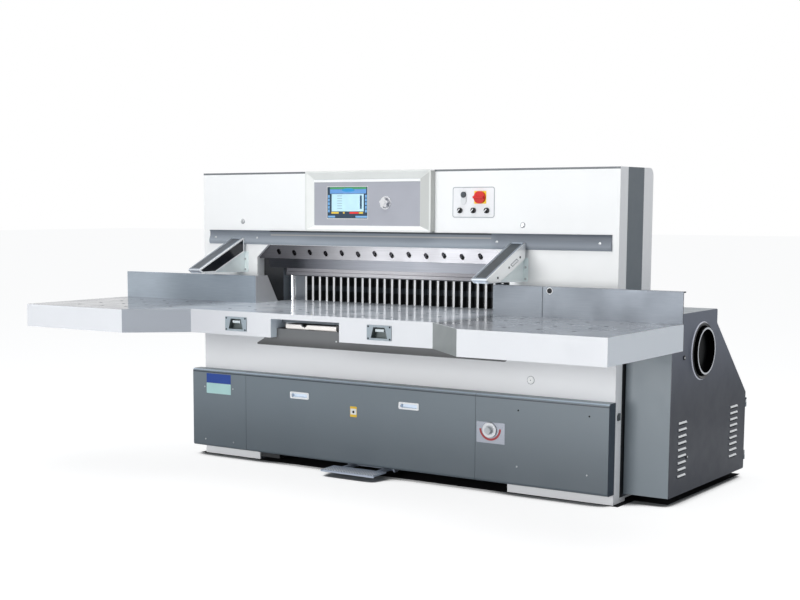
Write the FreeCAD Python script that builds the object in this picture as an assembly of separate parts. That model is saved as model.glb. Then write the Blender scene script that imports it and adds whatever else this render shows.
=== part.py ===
# Industrial paper cutter with a back gauge, side tables and a belt-driven knife.
# Millimetres. X runs to the operator's right, Y away from the operator, Z up from the floor.
# While the pieces are drawn, Y = 0 is the face of the white front covers. Each piece is then moved
# so that the origin lies at the middle of the whole machine's footprint, on the floor.
import FreeCAD, Part
import os
from math import acos, atan2, cos, pi, radians, sin, tan

V = FreeCAD.Vector

# Overall sizes
HEAD_OVER_TABLE = 702.0
HALF_WIDTH = 1275.0
HEAD_DEPTH = 378.0
TABLE_TOP = 900.0
TABLE_HALF = 1681.0
REAR_END = 1620.0
SKIN = 3.0
FIT = 0.05
RUN = 0.3
GAP = 1.5

# Tables
WING_FRONT = -979.0
WING_INNER = 984.0
WING_REAR = -198.0
BAY_FRONT = -749.0
BAY_HALF = 722.0
PLATE = 12.0
APRON = 119.0
BED_DEPTH = 103.0
BED_HALF = 740.0
RAIL = 40.0
RIB = 12.0
RIB_DEPTH = 60.0
MIDDLE_RIB_X = 385.0
DRAWER_RIB_X = 60.0
OUTER_RIB_X = 650.0
BED_FRONT = BAY_FRONT + 90
FRONT_CROSS_RIB = -330.0
CROSS_RIBS = (380.0, 700.0, 1020.0, 1300.0)
LUGS = (500.0, 900.0)
LUG_LENGTH = 60.0
SILL_HALF = 950.0
WING_RIBS_X = (1010.0, 1240.0, 1470.0)
WING_EDGE_RIB = 40.0
WING_CROSS_RIB = -620.0
WING_NECK_X = 760.0
REAR_HALF = 725.0
STICK_FRONT = 34.0
STICK_WIDTH = 27.0
STICK_DEPTH = 20.0

# Side frames
COLUMN_INNER = 745.0
COLUMN_FRONT = 130.0
BASE_FRONT = 10.0
BASE_REAR = 1000.0
WEB = 40.0
FLANGE = 30.0
SHELF_Z = 430.0
FOOT_HEIGHT = 53.0
TOE_LEFT = -876.0
TOE_RIGHT = 704.0
ACCESS_LEFT = TOE_LEFT
ACCESS_RIGHT = 520.0
ACCESS_BOTTOM = 90.0
ACCESS_TOP = 460.0
GLAND_X = 610.0
GLAND_Z = 110.0
GLAND_R = 13.0
ANCHOR_INSET = 95.0
ANCHOR_FRONT = 75.0
ANCHOR_REAR = 940.0
ANCHOR_R = 11.0
WAY_OUTER = 885.0
WAY_INNER = 750.0

# Front opening
OPENING_LEFT = -888.0
OPENING_RIGHT = 700.0
OPENING_HEIGHT = 306.0
CHAMFER_X = 76.0
CHAMFER_Z = 68.0
CHEEK_DEPTH = 62.0

# Knife
KNIFE_ANGLE = 52.0
KNIFE_FRONT = 20.0
KNIFE_BEAM_THICK = 25.0
BLADE_THICK = 13.5
BLADE_LIFT = 179.0
BLADE_HEIGHT = 160.0
BLADE_BEVEL = 52.0
BLADE_LEFT = -846.0
BLADE_RIGHT = 785.0
BEAM_LEFT = -884.0
BEAM_RIGHT = 815.0
BEAM_HEIGHT = 200.0
BOLT_PITCH = 106.2
BOLT_COUNT = 15
BOLT_SHIFT = -8.0
BOLT_STAGGER = 2.3
BOLT_RISE = 36.0
BOLT_HEAD = 12.0
BOLT_HEAD_R = 10.0
SLOT_LONG = 17.0
SLOT_HALF = 11.0
ROD_HALF = 20.0
ROD_REACH = 455.0
ROD_FRONT = 24.0
ROD_BACK = 54.0
SLEEVE_WALL = 6.0

# Worm gearbox and hydraulic unit
GEARBOX_LEFT = 990.0
GEARBOX_RIGHT = 1240.0
GEARBOX_REAR = 560.0
GEARBOX_RIBS = (160.0, 300.0, 440.0)
TUNNEL_R = 34.0
INSPECTION_R = 90.0
TANK_LEFT = -380.0
TANK_RIGHT = 60.0
TANK_FRONT = 260.0
TANK_REAR = 620.0
TANK_BOTTOM = 60.0
TANK_TOP = 330.0
PUMP_X = -250.0
PUMP_Y = 440.0
PIPE_Y = 350.0
PIPE_Z = 700.0

# Clamp
CLAMP_LIFT = 138.0
CLAMP_FRONT = 62.0
CLAMP_THICK = 56.0
CLAMP_HEIGHT = 252.0
CLAMP_HALF = 729.0
CLAMP_BAR_R = 11.5
CLAMP_ROD_X = 708.0
CLAMP_ROD_R = 16.0
YOKE_TOP = 640.0
YOKE_HEIGHT = 60.0
CLAMP_ROD_Y = 90.0
CYLINDER_Y = 76.0
CYLINDER_R = 36.0
CYLINDER_BORE = 27.0
PISTON_ROD_R = 18.0

# Back gauge
COMB_FRONT = 122.0
COMB_DEPTH = 38.0
COMB_PITCH = 47.5
COMB_RIBS = 28
COMB_RIB = 12.0
COMB_HEIGHT = 134.0
COMB_PLATE = 12.0
GUSSET_RIBS = (2, 8, 13, 14, 19, 25)
GAUGE_FOOT = 150.0
GAUGE_TRAVEL = 1170.0
NUT_FRONT = 145.0
NUT_LENGTH = 100.0
SCREW_DROP = 65.0
SCREW_R = 18.0
SCREW_JOURNAL_R = 12.0
SCREW_REAR = 1440.0
CHANNEL_HALF = 70.0
SLOT_TABLE_HALF = 13.0

# Covers, trim and display
BASE_COVER_DEPTH = 72.0
BASE_COVER_BOTTOM = 53.0
BASE_COVER_TOP = 496.0
BASE_COVER_LEFT_OUT = 33.0
SEAM_LEFT = -918.0
SEAM_RIGHT = 558.0
BASE_COVER_RIGHT_OUT = 3.0
COVER_ROUND = 14.0
PULLS = ((-605.0, -478.0), (102.0, 225.0))
PULL_BOTTOM = 377.0
PULL_TOP = 414.0
TRIM_LEFT_INSET = 49.0
TRIM_RIGHT_INSET = 35.0
TRIM_OVER_OPENING = 2.0
TRIM_HEIGHT = 77.0
TRIM_DEPTH = 12.0
BEZEL_LEFT = -525.0
BEZEL_RIGHT = 265.0
BEZEL_OVER_TRIM = 1.0
BEZEL_DEPTH = 40.0
PANEL_LEFT = -475.0
PANEL_RIGHT = 195.0
PANEL_RIM = 30.0
PANEL_HEIGHT = 244.0
PANEL_RECESS = 14.0
SCREEN_LEFT = -388.0
SCREEN_RIGHT = -130.0
SCREEN_RAISE = 38.0
SCREEN_HEIGHT = 165.0
SCREEN_THICK = 3.0

# Operator controls
CONTROL_LEFT = 371.0
CONTROL_RIGHT = 612.0
CONTROL_OVER_TRIM = 76.0
CONTROL_HEIGHT = 153.0
CONTROL_THICK = 2.0
SWITCH_X = 530.0
SWITCH_RAISE = 101.0
SWITCH_R = 31.0
SELECTOR_X = (416.0, 493.0, 569.0)
SELECTOR_RAISE = 36.0
SELECTOR_R = 14.0
JOG_X = -16.0
JOG_RAISE = 119.0
JOG_R = 27.0
PRESSURE_X = 641.0
PRESSURE_Z = 316.0
PRESSURE_R = 24.0
BUTTON_X = (-423.5, 433.5)
BUTTON_DROP = 62.5
BUTTON_TRAVEL = 6.0
BUTTON_PLATE_HALF = 68.0
BUTTON_PLATE_HIGH = 35.5
DRAWER_LEFT = -151.0
DRAWER_RIGHT = 151.0
DRAWER_DROP = 52.0
DRAWER_HIGH = 24.0
DRAWER_FRONT = -698.0
DRAWER_LENGTH = 324.0
DRAWER_NOTCH_X = -40.0
DRAWER_ROOM = 4.0
BAY_CUT_HALF = 205.0
BAY_CUT_DROP = 27.0
BAY_CHEEK_REAR = -630.0
TRAY_LEFT = -284.0
TRAY_RIGHT = 640.0
TRAY_FRONT = -700.0
TRAY_REAR = -0.3
TRAY_HEIGHT = 84.0
TRAY_DROP = 77.0
VALANCE_LEFT = -343.0
VALANCE_RIGHT = 1075.0
VALANCE_HEIGHT = 40.0
PEDAL_LEFT = -299.0
PEDAL_RIGHT = 39.0
PEDAL_FRONT = -211.0
PEDAL_REAR = -91.0
PEDAL_Z = 40.0
PEDAL_AXIS_Y = 40.0
PEDAL_AXIS_Z = 34.0

# Guides and light arms
GUIDE_FACE = -210.0
GUIDE_HEIGHT = 145.0
GUIDE_WALL = 6.0
GUIDE_LEFT = -731.0
GUIDE_RIGHT = 726.0
GUIDE_REAR_LOW = -19.0
GUIDE_REAR_HIGH = -110.0
GUIDE_SEAM_X = 989.0
GUIDE_SEAM = 3.0
ARM_REAR = -15.0
ARM_RAISE = 347.5
ARM_REAR_RAISE = 263.6
ARM_KNEE_Y = -265.0
ARM_KNEE_RAISE = 158.0
ARM_TIP_Y = -402.0
ARM_TIP_RAISE = 178.0
ARM_CHIN_Y = -372.0
ARM_CORNERS = (10.0, 6.0, 8.0, 14.0, 7.0)
ARM_ROUND = 5.0
ARM_RIM = 9.0
ARM_PANEL_EDGE = 12.0
LEFT_ARM = (-1052.0, -969.0)
RIGHT_ARM = (712.0, 795.0)
BRACKET_EDGES = (-951.0, 802.0)
BRACKET_FLANGE = 25.0
BRACKET_FOOT = -250.0

# Drive housing
HOUSING_GAP = 7.0
HOUSING_WIDTH = 226.0
HOUSING_FRONT = 98.0
HOUSING_BEHIND_BASE = 101.0
HOUSING_BOTTOM = 43.5
HOUSING_OVER_TABLE = 13.0
HOUSING_STEP_Y = 660.0
HOUSING_STEP_DROP = 70.0
HOUSING_BACK_Z = 450.0
HOUSING_WALL = 4.0
DOOR_THICK = 3.0
HINGE_OFF = 8.0
HINGE_R = 6.5
HINGE_PIN_R = 3.0
HINGE_LONG = 24.0
HINGES = (90.0, 370.0)
WHEEL_Y = 473.0
WHEEL_DROP = 182.0
WHEEL_R = 175.0
PORT_R = 134.0
DRUM_R = 116.0
DRUM_PROUD = 22.0
SHAFT_R = 25.0
MOTOR_Y = 800.0
MOTOR_Z = 190.0
MOTOR_R = 95.0
PULLEY_R = 55.0
BELT_INSET = 63.0
BELT_WIDTH = 13.0
BELT_COUNT = 3
BELT_STEP = 17.0
BELT_THICK = 10.0
LOUVRE_COUNT = 9
LOUVRE_PITCH = 32.0
LOUVRE_TOP = 393.0
LOUVRE_COLUMNS = ((197.0, 292.0), (881.0, 981.0))
LATCH_UPPER = (242.0, -15.0)
LATCH_LOWER = (309.0, 217.0)
LATCH_R = 11.0

# Sizes worked out from the ones above
HEIGHT = TABLE_TOP + HEAD_OVER_TABLE
OPENING_TOP = TABLE_TOP + OPENING_HEIGHT
ANCHOR_X = HALF_WIDTH - ANCHOR_INSET
SCREW_Z = TABLE_TOP - SCREW_DROP
BASE_COVER_LEFT = -HALF_WIDTH - BASE_COVER_LEFT_OUT
BASE_COVER_RIGHT = HALF_WIDTH + BASE_COVER_RIGHT_OUT
TRIM_LEFT = TRIM_LEFT_INSET - HALF_WIDTH
TRIM_RIGHT = HALF_WIDTH - TRIM_RIGHT_INSET
TRIM_BOTTOM = OPENING_TOP + TRIM_OVER_OPENING
TRIM_TOP = TRIM_BOTTOM + TRIM_HEIGHT
BEZEL_BOTTOM = TRIM_TOP + BEZEL_OVER_TRIM
PANEL_BOTTOM = BEZEL_BOTTOM + PANEL_RIM
PANEL_TOP = PANEL_BOTTOM + PANEL_HEIGHT
SCREEN_BOTTOM = PANEL_BOTTOM + SCREEN_RAISE
SCREEN_TOP = SCREEN_BOTTOM + SCREEN_HEIGHT
CONTROL_BOTTOM = TRIM_TOP + CONTROL_OVER_TRIM
CONTROL_TOP = CONTROL_BOTTOM + CONTROL_HEIGHT
SWITCH_Z = CONTROL_BOTTOM + SWITCH_RAISE
SELECTOR_Z = CONTROL_BOTTOM + SELECTOR_RAISE
JOG_Z = PANEL_BOTTOM + JOG_RAISE
BUTTON_Z = TABLE_TOP - BUTTON_DROP
DRAWER_TOP = TABLE_TOP - DRAWER_DROP
FRONT_RIB_BOTTOM = DRAWER_TOP + DRAWER_ROOM
BAY_CUT_TOP = TABLE_TOP - BAY_CUT_DROP
TRAY_TOP = TABLE_TOP - TRAY_DROP
TRAY_BOTTOM = TRAY_TOP - TRAY_HEIGHT
ARM_TOP = TABLE_TOP + ARM_RAISE
ARM_REAR_LOW = TABLE_TOP + ARM_REAR_RAISE
ARM_KNEE_Z = TABLE_TOP + ARM_KNEE_RAISE
ARM_TIP_Z = TABLE_TOP + ARM_TIP_RAISE
HOUSING_INNER = HALF_WIDTH + HOUSING_GAP
HOUSING_OUTER = HOUSING_INNER + HOUSING_WIDTH
HOUSING_TOP = TABLE_TOP + HOUSING_OVER_TABLE
HOUSING_REAR = BASE_REAR + HOUSING_BEHIND_BASE
HOUSING_STEP_Z = HOUSING_TOP - HOUSING_STEP_DROP
WHEEL_Z = TABLE_TOP - WHEEL_DROP
BELT_X = HOUSING_INNER + BELT_INSET
LATCHES = ((LATCH_UPPER[0], WHEEL_Z + LATCH_UPPER[1]), LATCH_LOWER)
BASE_TOP = TABLE_TOP - PLATE - BED_DEPTH
ORIGIN_Y = (WING_FRONT + REAR_END) / 2
BLADE_EDGE = TABLE_TOP + BLADE_LIFT
BEAM_BOTTOM = BLADE_EDGE + BLADE_BEVEL
BEAM_TOP = BEAM_BOTTOM + BEAM_HEIGHT
BLADE_FRONT = KNIFE_FRONT + KNIFE_BEAM_THICK
BLADE_BACK = BLADE_FRONT + BLADE_THICK
STROKE = (BLADE_LIFT - RUN) / sin(radians(KNIFE_ANGLE))
CLAMP_EDGE = TABLE_TOP + CLAMP_LIFT
CLAMP_STROKE = CLAMP_LIFT - RUN
DOOR_X = HOUSING_OUTER + RUN
HINGE_Y = HOUSING_REAR + HINGE_OFF
BOLT_Z = BEAM_BOTTOM + BOLT_RISE
ROD_X = BEAM_RIGHT
ROD_Z = BEAM_BOTTOM + 84.0
SLEEVE_TOP = ROD_REACH - 60.0
SLEEVE_END = ROD_REACH + STROKE + 5.0


def box(x0, x1, y0, y1, z0, z1):
    return Part.makeBox(x1 - x0, y1 - y0, z1 - z0, V(x0, y0, z0))


def rod_x(x0, x1, y, z, r):
    return Part.makeCylinder(r, x1 - x0, V(x0, y, z), V(1, 0, 0))


def rod_y(y0, y1, x, z, r):
    return Part.makeCylinder(r, y1 - y0, V(x, y0, z), V(0, 1, 0))


def rod_z(z0, z1, x, y, r):
    return Part.makeCylinder(r, z1 - z0, V(x, y, z0), V(0, 0, 1))


def rounded_wire(points, radii):
    """A closed wire through the points, with a tangent arc of the given radius at each corner."""
    count = len(points)
    entries = []
    for i in range(count):
        here = points[i]
        back = (points[i - 1] - here).normalize()
        ahead = (points[(i + 1) % count] - here).normalize()
        half = back.getAngle(ahead) / 2
        radius = radii[i]
        cut = radius / tan(half)
        middle = here + (back + ahead).normalize() * (radius / sin(half) - radius)
        entries.append((here + back * cut, middle, here + ahead * cut, radius))
    edges = []
    for i in range(count):
        start, middle, end, radius = entries[i]
        if radius > 0:
            edges.append(Part.Arc(start, middle, end).toShape())
        following = entries[(i + 1) % count][0]
        if (following - end).Length > 1e-6:
            edges.append(Part.LineSegment(end, following).toShape())
    return Part.Wire(edges)


def plate(points, radius, push):
    """A flat outline with rounded corners, pushed into a solid."""
    radii = radius if isinstance(radius, (list, tuple)) else [radius] * len(points)
    return Part.Face(rounded_wire(points, radii)).extrude(push)


def prism_x(points, x0, x1, radius=0.0):
    return plate([V(x0, y, z) for y, z in points], radius, V(x1 - x0, 0, 0))


def prism_y(points, y0, y1, radius=0.0):
    return plate([V(x, y0, z) for x, z in points], radius, V(0, y1 - y0, 0))


def prism_z(points, z0, z1, radius=0.0):
    return plate([V(x, y, z0) for x, y in points], radius, V(0, 0, z1 - z0))


def rectangle(a0, a1, b0, b1):
    return [(a0, b0), (a1, b0), (a1, b1), (a0, b1)]


def fuse(shapes):
    first = shapes[0]
    return first.multiFuse(shapes[1:]).removeSplitter() if len(shapes) > 1 else first


def mirrored(shape):
    return shape.mirror(V(0, 0, 0), V(1, 0, 0))


def turned(profile, centre, axis):
    """A solid made by turning a profile of (distance along the axis, radius) points."""
    side = V(0, 0, 1) if abs(axis.z) < 0.5 else V(1, 0, 0)
    points = [centre + axis * along + side * r for along, r in profile]
    edges = Part.makePolygon(points + [points[0]])
    return Part.Face(edges).revolve(centre, axis, 360)


def many_sided(centre, push, r, sides):
    """A fluted or hexagonal prism that faces along Y."""
    corners = []
    for i in range(sides):
        angle = 2 * pi * i / sides
        corners.append(centre + V(r * cos(angle), 0, r * sin(angle)))
    return plate(corners, 0.0, push)


def frame_outline(inset):
    """The side frame seen from the side: a long base with a column at its front."""
    return [
        (BASE_FRONT + inset, inset),
        (BASE_REAR - inset, inset),
        (BASE_REAR - inset, BASE_TOP - inset),
        (HEAD_DEPTH - SKIN - inset, BASE_TOP - inset),
        (HEAD_DEPTH - SKIN - inset, HEIGHT - SKIN - inset),
        (COLUMN_FRONT + inset, HEIGHT - SKIN - inset),
        (COLUMN_FRONT + inset, BASE_TOP - inset),
        (BASE_FRONT + inset, BASE_TOP - inset),
    ]


def side_frame():
    """The right-hand frame casting: an inner web, a flange all round, ribs, feet and the knife way."""
    outer = HALF_WIDTH - SKIN
    corner = [0, 0, 20, 20, 37, 0, 0, 0]
    body = prism_x(frame_outline(0), COLUMN_INNER, outer, corner)
    pocket_x = COLUMN_INNER + WEB
    low = prism_x(
        rectangle(BASE_FRONT + FLANGE, BASE_REAR - FLANGE, FLANGE, SHELF_Z - FLANGE),
        pocket_x,
        outer + 1,
        25,
    )
    middle = prism_x(
        rectangle(BASE_FRONT + FLANGE, BASE_REAR - FLANGE, SHELF_Z, BASE_TOP - FLANGE),
        pocket_x,
        outer + 1,
        [0, 0, 25, 25],
    )
    rear_wall = HEAD_DEPTH - SKIN - FLANGE
    front_wall = COLUMN_FRONT + FLANGE
    split = (BASE_TOP + HEIGHT) / 2
    lower_bay = prism_x(
        rectangle(front_wall, rear_wall, BASE_TOP + FLANGE, split - FLANGE / 2),
        pocket_x,
        outer + 1,
        25,
    )
    upper_bay = prism_x(
        rectangle(front_wall, rear_wall, split + FLANGE / 2, HEIGHT - SKIN - FLANGE),
        pocket_x,
        outer + 1,
        25,
    )
    body = body.cut(low).cut(middle).cut(lower_bay).cut(upper_bay)
    way_back = COLUMN_FRONT + 10
    way = box(WAY_INNER, WAY_OUTER, BLADE_BACK + RUN, way_back, TABLE_TOP, BEAM_TOP)
    relief = box(COLUMN_INNER - 1, outer + 1, BASE_FRONT + 130, BASE_REAR - 120, -1, FLANGE / 2)
    body = body.fuse(way).cut(relief)
    for y in (ANCHOR_FRONT, ANCHOR_REAR):
        body = body.cut(rod_z(-1, FLANGE + 1, ANCHOR_X, y, ANCHOR_R))
    return body


def knife_line(x, z, along):
    """The point that the given distance along the knife's slanting path starts from x, z."""
    angle = radians(KNIFE_ANGLE)
    return x + along * cos(angle), z - along * sin(angle)


def slanted_bar(x, z, start, end, half, y0, y1):
    """A bar lying along the knife's path, from start to end, of the given half width."""
    angle = radians(KNIFE_ANGLE)
    x0, z0 = knife_line(x, z, start)
    x1, z1 = knife_line(x, z, end)
    dx = half * sin(angle)
    dz = half * cos(angle)
    corners = [(x0 + dx, z0 + dz), (x1 + dx, z1 + dz), (x1 - dx, z1 - dz), (x0 - dx, z0 - dz)]
    return prism_y(corners, y0, y1)


def left_side_frame():
    frame = mirrored(side_frame())
    relief = box(TOE_LEFT, 1 - COLUMN_INNER, -1, BASE_REAR + 1, -1, FLANGE / 2)
    return frame.cut(relief)


def right_side_frame():
    """The right frame also lets the knife's pull rod sleeve and the worm shaft through."""
    frame = side_frame()
    hole_half = ROD_HALF + SLEEVE_WALL + RUN
    sleeve_hole = slanted_bar(
        ROD_X, ROD_Z, SLEEVE_TOP - 20, SLEEVE_END + 20, hole_half, 0, ROD_BACK + SLEEVE_WALL + RUN
    )
    return frame.cut(sleeve_hole)


def bed_lug(y0, y1):
    inner = BED_HALF - RAIL
    return [
        box(inner, COLUMN_INNER + 60, y0, y1, BASE_TOP, TABLE_TOP - PLATE),
        box(-COLUMN_INNER - 60, -inner, y0, y1, BASE_TOP, TABLE_TOP - PLATE),
    ]


def front_carrier(top):
    """Ribs before the sill that carry the middle table, each seated flat against the next."""
    ribs = (
        (DRAWER_RIB_X, RAIL, FRONT_RIB_BOTTOM),
        (MIDDLE_RIB_X, RIB, TRAY_TOP),
        (OUTER_RIB_X, RAIL, TRAY_TOP),
    )
    crossings = (BED_FRONT, FRONT_CROSS_RIB)
    made = []
    for y in crossings:
        made.append(box(-DRAWER_RIB_X, DRAWER_RIB_X, y, y + RIB, FRONT_RIB_BOTTOM, top))
    start = DRAWER_RIB_X
    for x, wide, bottom in ribs:
        rib = box(x, x + wide, BED_FRONT, KNIFE_FRONT, bottom, top)
        made += [rib, mirrored(rib)]
        if x > start:
            for y in crossings:
                link = box(start, x, y, y + RIB, FRONT_RIB_BOTTOM, top)
                made += [link, mirrored(link)]
        start = x + wide
    return made


def table_bed():
    """The cast bed: rails and cross ribs, a heavy sill under the knife and a channel for the screw."""
    top = TABLE_TOP - PLATE
    low = BASE_TOP
    pieces = []
    end = SCREW_REAR + 150
    rails = ((CHANNEL_HALF, RAIL), (BED_HALF - RAIL, RAIL), (MIDDLE_RIB_X, RIB))
    for x, wide in rails:
        pieces.append(box(x, x + wide, KNIFE_FRONT, end, low, top))
        pieces.append(box(-x - wide, -x, KNIFE_FRONT, end, low, top))
    for y in CROSS_RIBS:
        pieces.append(box(CHANNEL_HALF, BED_HALF, y, y + RIB, low, top))
        pieces.append(box(-BED_HALF, -CHANNEL_HALF, y, y + RIB, low, top))
    pieces.append(box(-SILL_HALF, SILL_HALF, KNIFE_FRONT, COLUMN_FRONT - 2, low, top))
    pieces.append(box(-BED_HALF, BED_HALF, SCREW_REAR, SCREW_REAR + FLANGE, low, top))
    pieces.append(box(-BED_HALF, BED_HALF, end - RIB, end, low, top))
    for y in LUGS:
        pieces += bed_lug(y, y + LUG_LENGTH)
    bed = fuse(pieces)
    groove_rear = STICK_FRONT + STICK_WIDTH
    groove_bottom = TABLE_TOP - STICK_DEPTH
    groove = box(-SILL_HALF - 1, SILL_HALF + 1, STICK_FRONT, groove_rear, groove_bottom, top + 1)
    bed = bed.cut(groove)
    bed = bed.cut(rod_z(low - 1, top + 1, 0, CYLINDER_Y, CYLINDER_R + RUN))
    for x in (-CLAMP_ROD_X, CLAMP_ROD_X):
        bed = bed.cut(rod_z(low - 1, top + 1, x, CLAMP_ROD_Y, CLAMP_ROD_R + FIT))
    journal = rod_y(COLUMN_FRONT - 12, SCREW_REAR + FLANGE + 1, 0, SCREW_Z, SCREW_JOURNAL_R + FIT)
    return Part.makeCompound([bed.cut(journal)] + front_carrier(top))


def table_outline(inset):
    """Half of the front table's outline, from the left wing to the right one."""
    slope = inset * tan(radians(20.7))
    return [
        (-TABLE_HALF + inset, WING_REAR),
        (-TABLE_HALF + inset, WING_FRONT + inset),
        (-WING_INNER - slope, WING_FRONT + inset),
        (-BAY_HALF - slope, BAY_FRONT + inset),
        (BAY_HALF + slope, BAY_FRONT + inset),
        (WING_INNER + slope, WING_FRONT + inset),
        (TABLE_HALF - inset, WING_FRONT + inset),
        (TABLE_HALF - inset, WING_REAR),
    ]


def wing_ribs(z0, z1):
    """Stiffening ribs under both side tables."""
    made = []
    front = WING_FRONT + WING_EDGE_RIB
    rear = WING_REAR - 15
    inner = WING_RIBS_X[0]
    outer = TABLE_HALF - WING_EDGE_RIB
    for x in WING_RIBS_X + (outer,):
        made.append(box(x, x + RIB, front, rear, z0, z1))
    for y in (front, WING_CROSS_RIB, rear - RIB):
        made.append(box(inner, outer + RIB, y, y + RIB, z0, z1))
    made.append(box(WING_NECK_X, inner + RIB, rear - RIB, rear, z0, z1))
    made.append(box(WING_NECK_X, WING_NECK_X + RIB, WING_CROSS_RIB - 20, rear, z0, z1))
    return made + [mirrored(rib) for rib in made]


def front_table_top():
    """One polished plate: two side tables and the recessed middle, up to the cutting stick."""
    bottom = TABLE_TOP - PLATE
    inset = SKIN + RUN
    outline = table_outline(inset)
    middle = [
        (BED_HALF, WING_REAR),
        (BED_HALF, -RUN),
        (OPENING_RIGHT - RUN, -RUN),
        (OPENING_RIGHT - RUN, STICK_FRONT - RUN),
        (-BED_HALF, STICK_FRONT - RUN),
        (-BED_HALF, WING_REAR),
    ]
    top = prism_z(outline + middle, bottom, TABLE_TOP)
    return fuse([top] + wing_ribs(bottom - RIB_DEPTH, bottom + 1))


def rear_table_top():
    """The rear table with the slot that the back gauge's neck runs in, and its two side gauges."""
    start = STICK_FRONT + STICK_WIDTH + RUN
    top = box(-BED_HALF, BED_HALF, start, REAR_END, TABLE_TOP - PLATE, TABLE_TOP)
    slot = prism_z(
        rectangle(-SLOT_TABLE_HALF, SLOT_TABLE_HALF, NUT_FRONT - 20, SCREW_REAR - 10),
        TABLE_TOP - PLATE - 1,
        TABLE_TOP + 1,
        SLOT_TABLE_HALF - 0.5,
    )
    top = top.cut(slot)
    for x in (-CLAMP_ROD_X, CLAMP_ROD_X):
        top = top.cut(rod_z(TABLE_TOP - PLATE - 1, TABLE_TOP + 1, x, CLAMP_ROD_Y, CLAMP_ROD_R + RUN))
    side = [
        (COLUMN_FRONT + 5, TABLE_TOP),
        (REAR_END - 90, TABLE_TOP),
        (REAR_END - 160, TABLE_TOP + 70),
        (HEAD_DEPTH + 60, TABLE_TOP + 70),
        (HEAD_DEPTH, TABLE_TOP + CLAMP_LIFT),
        (COLUMN_FRONT + 5, TABLE_TOP + CLAMP_LIFT),
    ]
    gauge = prism_x(side, REAR_HALF, REAR_HALF + 10)
    return fuse([top, gauge, mirrored(gauge)])


def cutting_stick():
    """The replaceable plastic bar that the blade meets, flush in its groove."""
    reach = BED_HALF - RUN
    front = STICK_FRONT + RUN
    back = STICK_FRONT + STICK_WIDTH - RUN
    return box(-reach, reach, front, back, TABLE_TOP - STICK_DEPTH, TABLE_TOP)


def fascia_panels():
    """The seven flat panels of the apron, mitred where they meet."""
    bottom = TABLE_TOP - APRON
    outer = table_outline(0)
    inner = table_outline(SKIN)
    panels = []
    for i in range(len(outer) - 1):
        corners = [outer[i], outer[i + 1], inner[i + 1], inner[i]]
        panels.append(prism_z(corners, bottom, TABLE_TOP - 0.5))
    return panels


def table_fascia():
    """The white apron round the front tables: flat panels, with the notch over the tool drawer."""
    bottom = TABLE_TOP - APRON
    panels = fascia_panels()
    middle = len(panels) // 2
    front = panels.pop(middle)
    header = box(-BAY_CUT_HALF, BAY_CUT_HALF, BAY_FRONT, BAY_FRONT + SKIN, BAY_CUT_TOP, TABLE_TOP - 0.5)
    gap = box(-BAY_CUT_HALF, BAY_CUT_HALF, BAY_FRONT - 1, BAY_FRONT + SKIN + 1, bottom - 1, HEIGHT)
    wide = BUTTON_PLATE_HALF - 8
    high = BUTTON_PLATE_HIGH - 6
    for x in BUTTON_X:
        hole = box(x - wide, x + wide, BAY_FRONT - 1, BAY_FRONT + SKIN + 1, BUTTON_Z - high, BUTTON_Z + high)
        front = front.cut(hole)
    side = [
        (BAY_FRONT + SKIN, bottom),
        (TRAY_FRONT - GAP, bottom),
        (TRAY_FRONT - GAP, TRAY_TOP + GAP),
        (BAY_CHEEK_REAR, TRAY_TOP + GAP),
        (BAY_CHEEK_REAR, FRONT_RIB_BOTTOM - GAP),
        (BED_FRONT - GAP, FRONT_RIB_BOTTOM - GAP),
        (BED_FRONT - GAP, BAY_CUT_TOP),
        (BAY_FRONT + SKIN, BAY_CUT_TOP),
    ]
    cheek = prism_x(side, BAY_CUT_HALF, BAY_CUT_HALF + SKIN)
    return Part.makeCompound(panels + front.cut(gap).Solids + [header, cheek, mirrored(cheek)])


def opening_outline(drop):
    """The front opening, seen from the front, open at its bottom."""
    low = BASE_TOP - drop
    return [
        (OPENING_LEFT, low),
        (OPENING_RIGHT, low),
        (OPENING_RIGHT, OPENING_TOP - CHAMFER_Z),
        (OPENING_RIGHT - CHAMFER_X, OPENING_TOP),
        (OPENING_LEFT + CHAMFER_X, OPENING_TOP),
        (OPENING_LEFT, OPENING_TOP - CHAMFER_Z),
    ]


def upper_front_cover():
    """The white head cover with its chamfered opening and the bent-in cheek at the left."""
    sheet = box(-HALF_WIDTH, HALF_WIDTH, 0, SKIN, BASE_TOP, HEIGHT)
    sheet = sheet.cut(prism_y(opening_outline(1), -1, SKIN + 1))
    x0 = OPENING_LEFT
    z1 = OPENING_TOP - CHAMFER_Z
    low_z = z1 - RUN * 20
    cheek = box(x0 - SKIN, x0, SKIN - 1, SKIN + CHEEK_DEPTH, TABLE_TOP, low_z)
    lip = [(x0 - SKIN, low_z - 1), (x0, low_z - 1), (x0, z1), (x0 + CHAMFER_X, OPENING_TOP)]
    lip += [(x0 + CHAMFER_X - 2, OPENING_TOP + SKIN), (x0 - SKIN, z1 + 1)]
    return fuse([sheet, cheek, prism_y(lip, SKIN - 1, KNIFE_FRONT - RUN)])


def lower_front_cover():
    """The white cover below the table: flat panels round the access hole and over the toe gap."""
    top = BASE_TOP - RUN
    panels = (
        (-HALF_WIDTH, TOE_LEFT, 0, top),
        (TOE_RIGHT, HALF_WIDTH, 0, top),
        (ACCESS_LEFT, TOE_RIGHT, ACCESS_TOP, top),
        (ACCESS_LEFT, TOE_RIGHT, FOOT_HEIGHT, ACCESS_BOTTOM),
        (ACCESS_RIGHT, TOE_RIGHT, ACCESS_BOTTOM, ACCESS_TOP),
    )
    return Part.makeCompound([box(x0, x1, 0, SKIN, z0, z1) for x0, x1, z0, z1 in panels])


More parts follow.
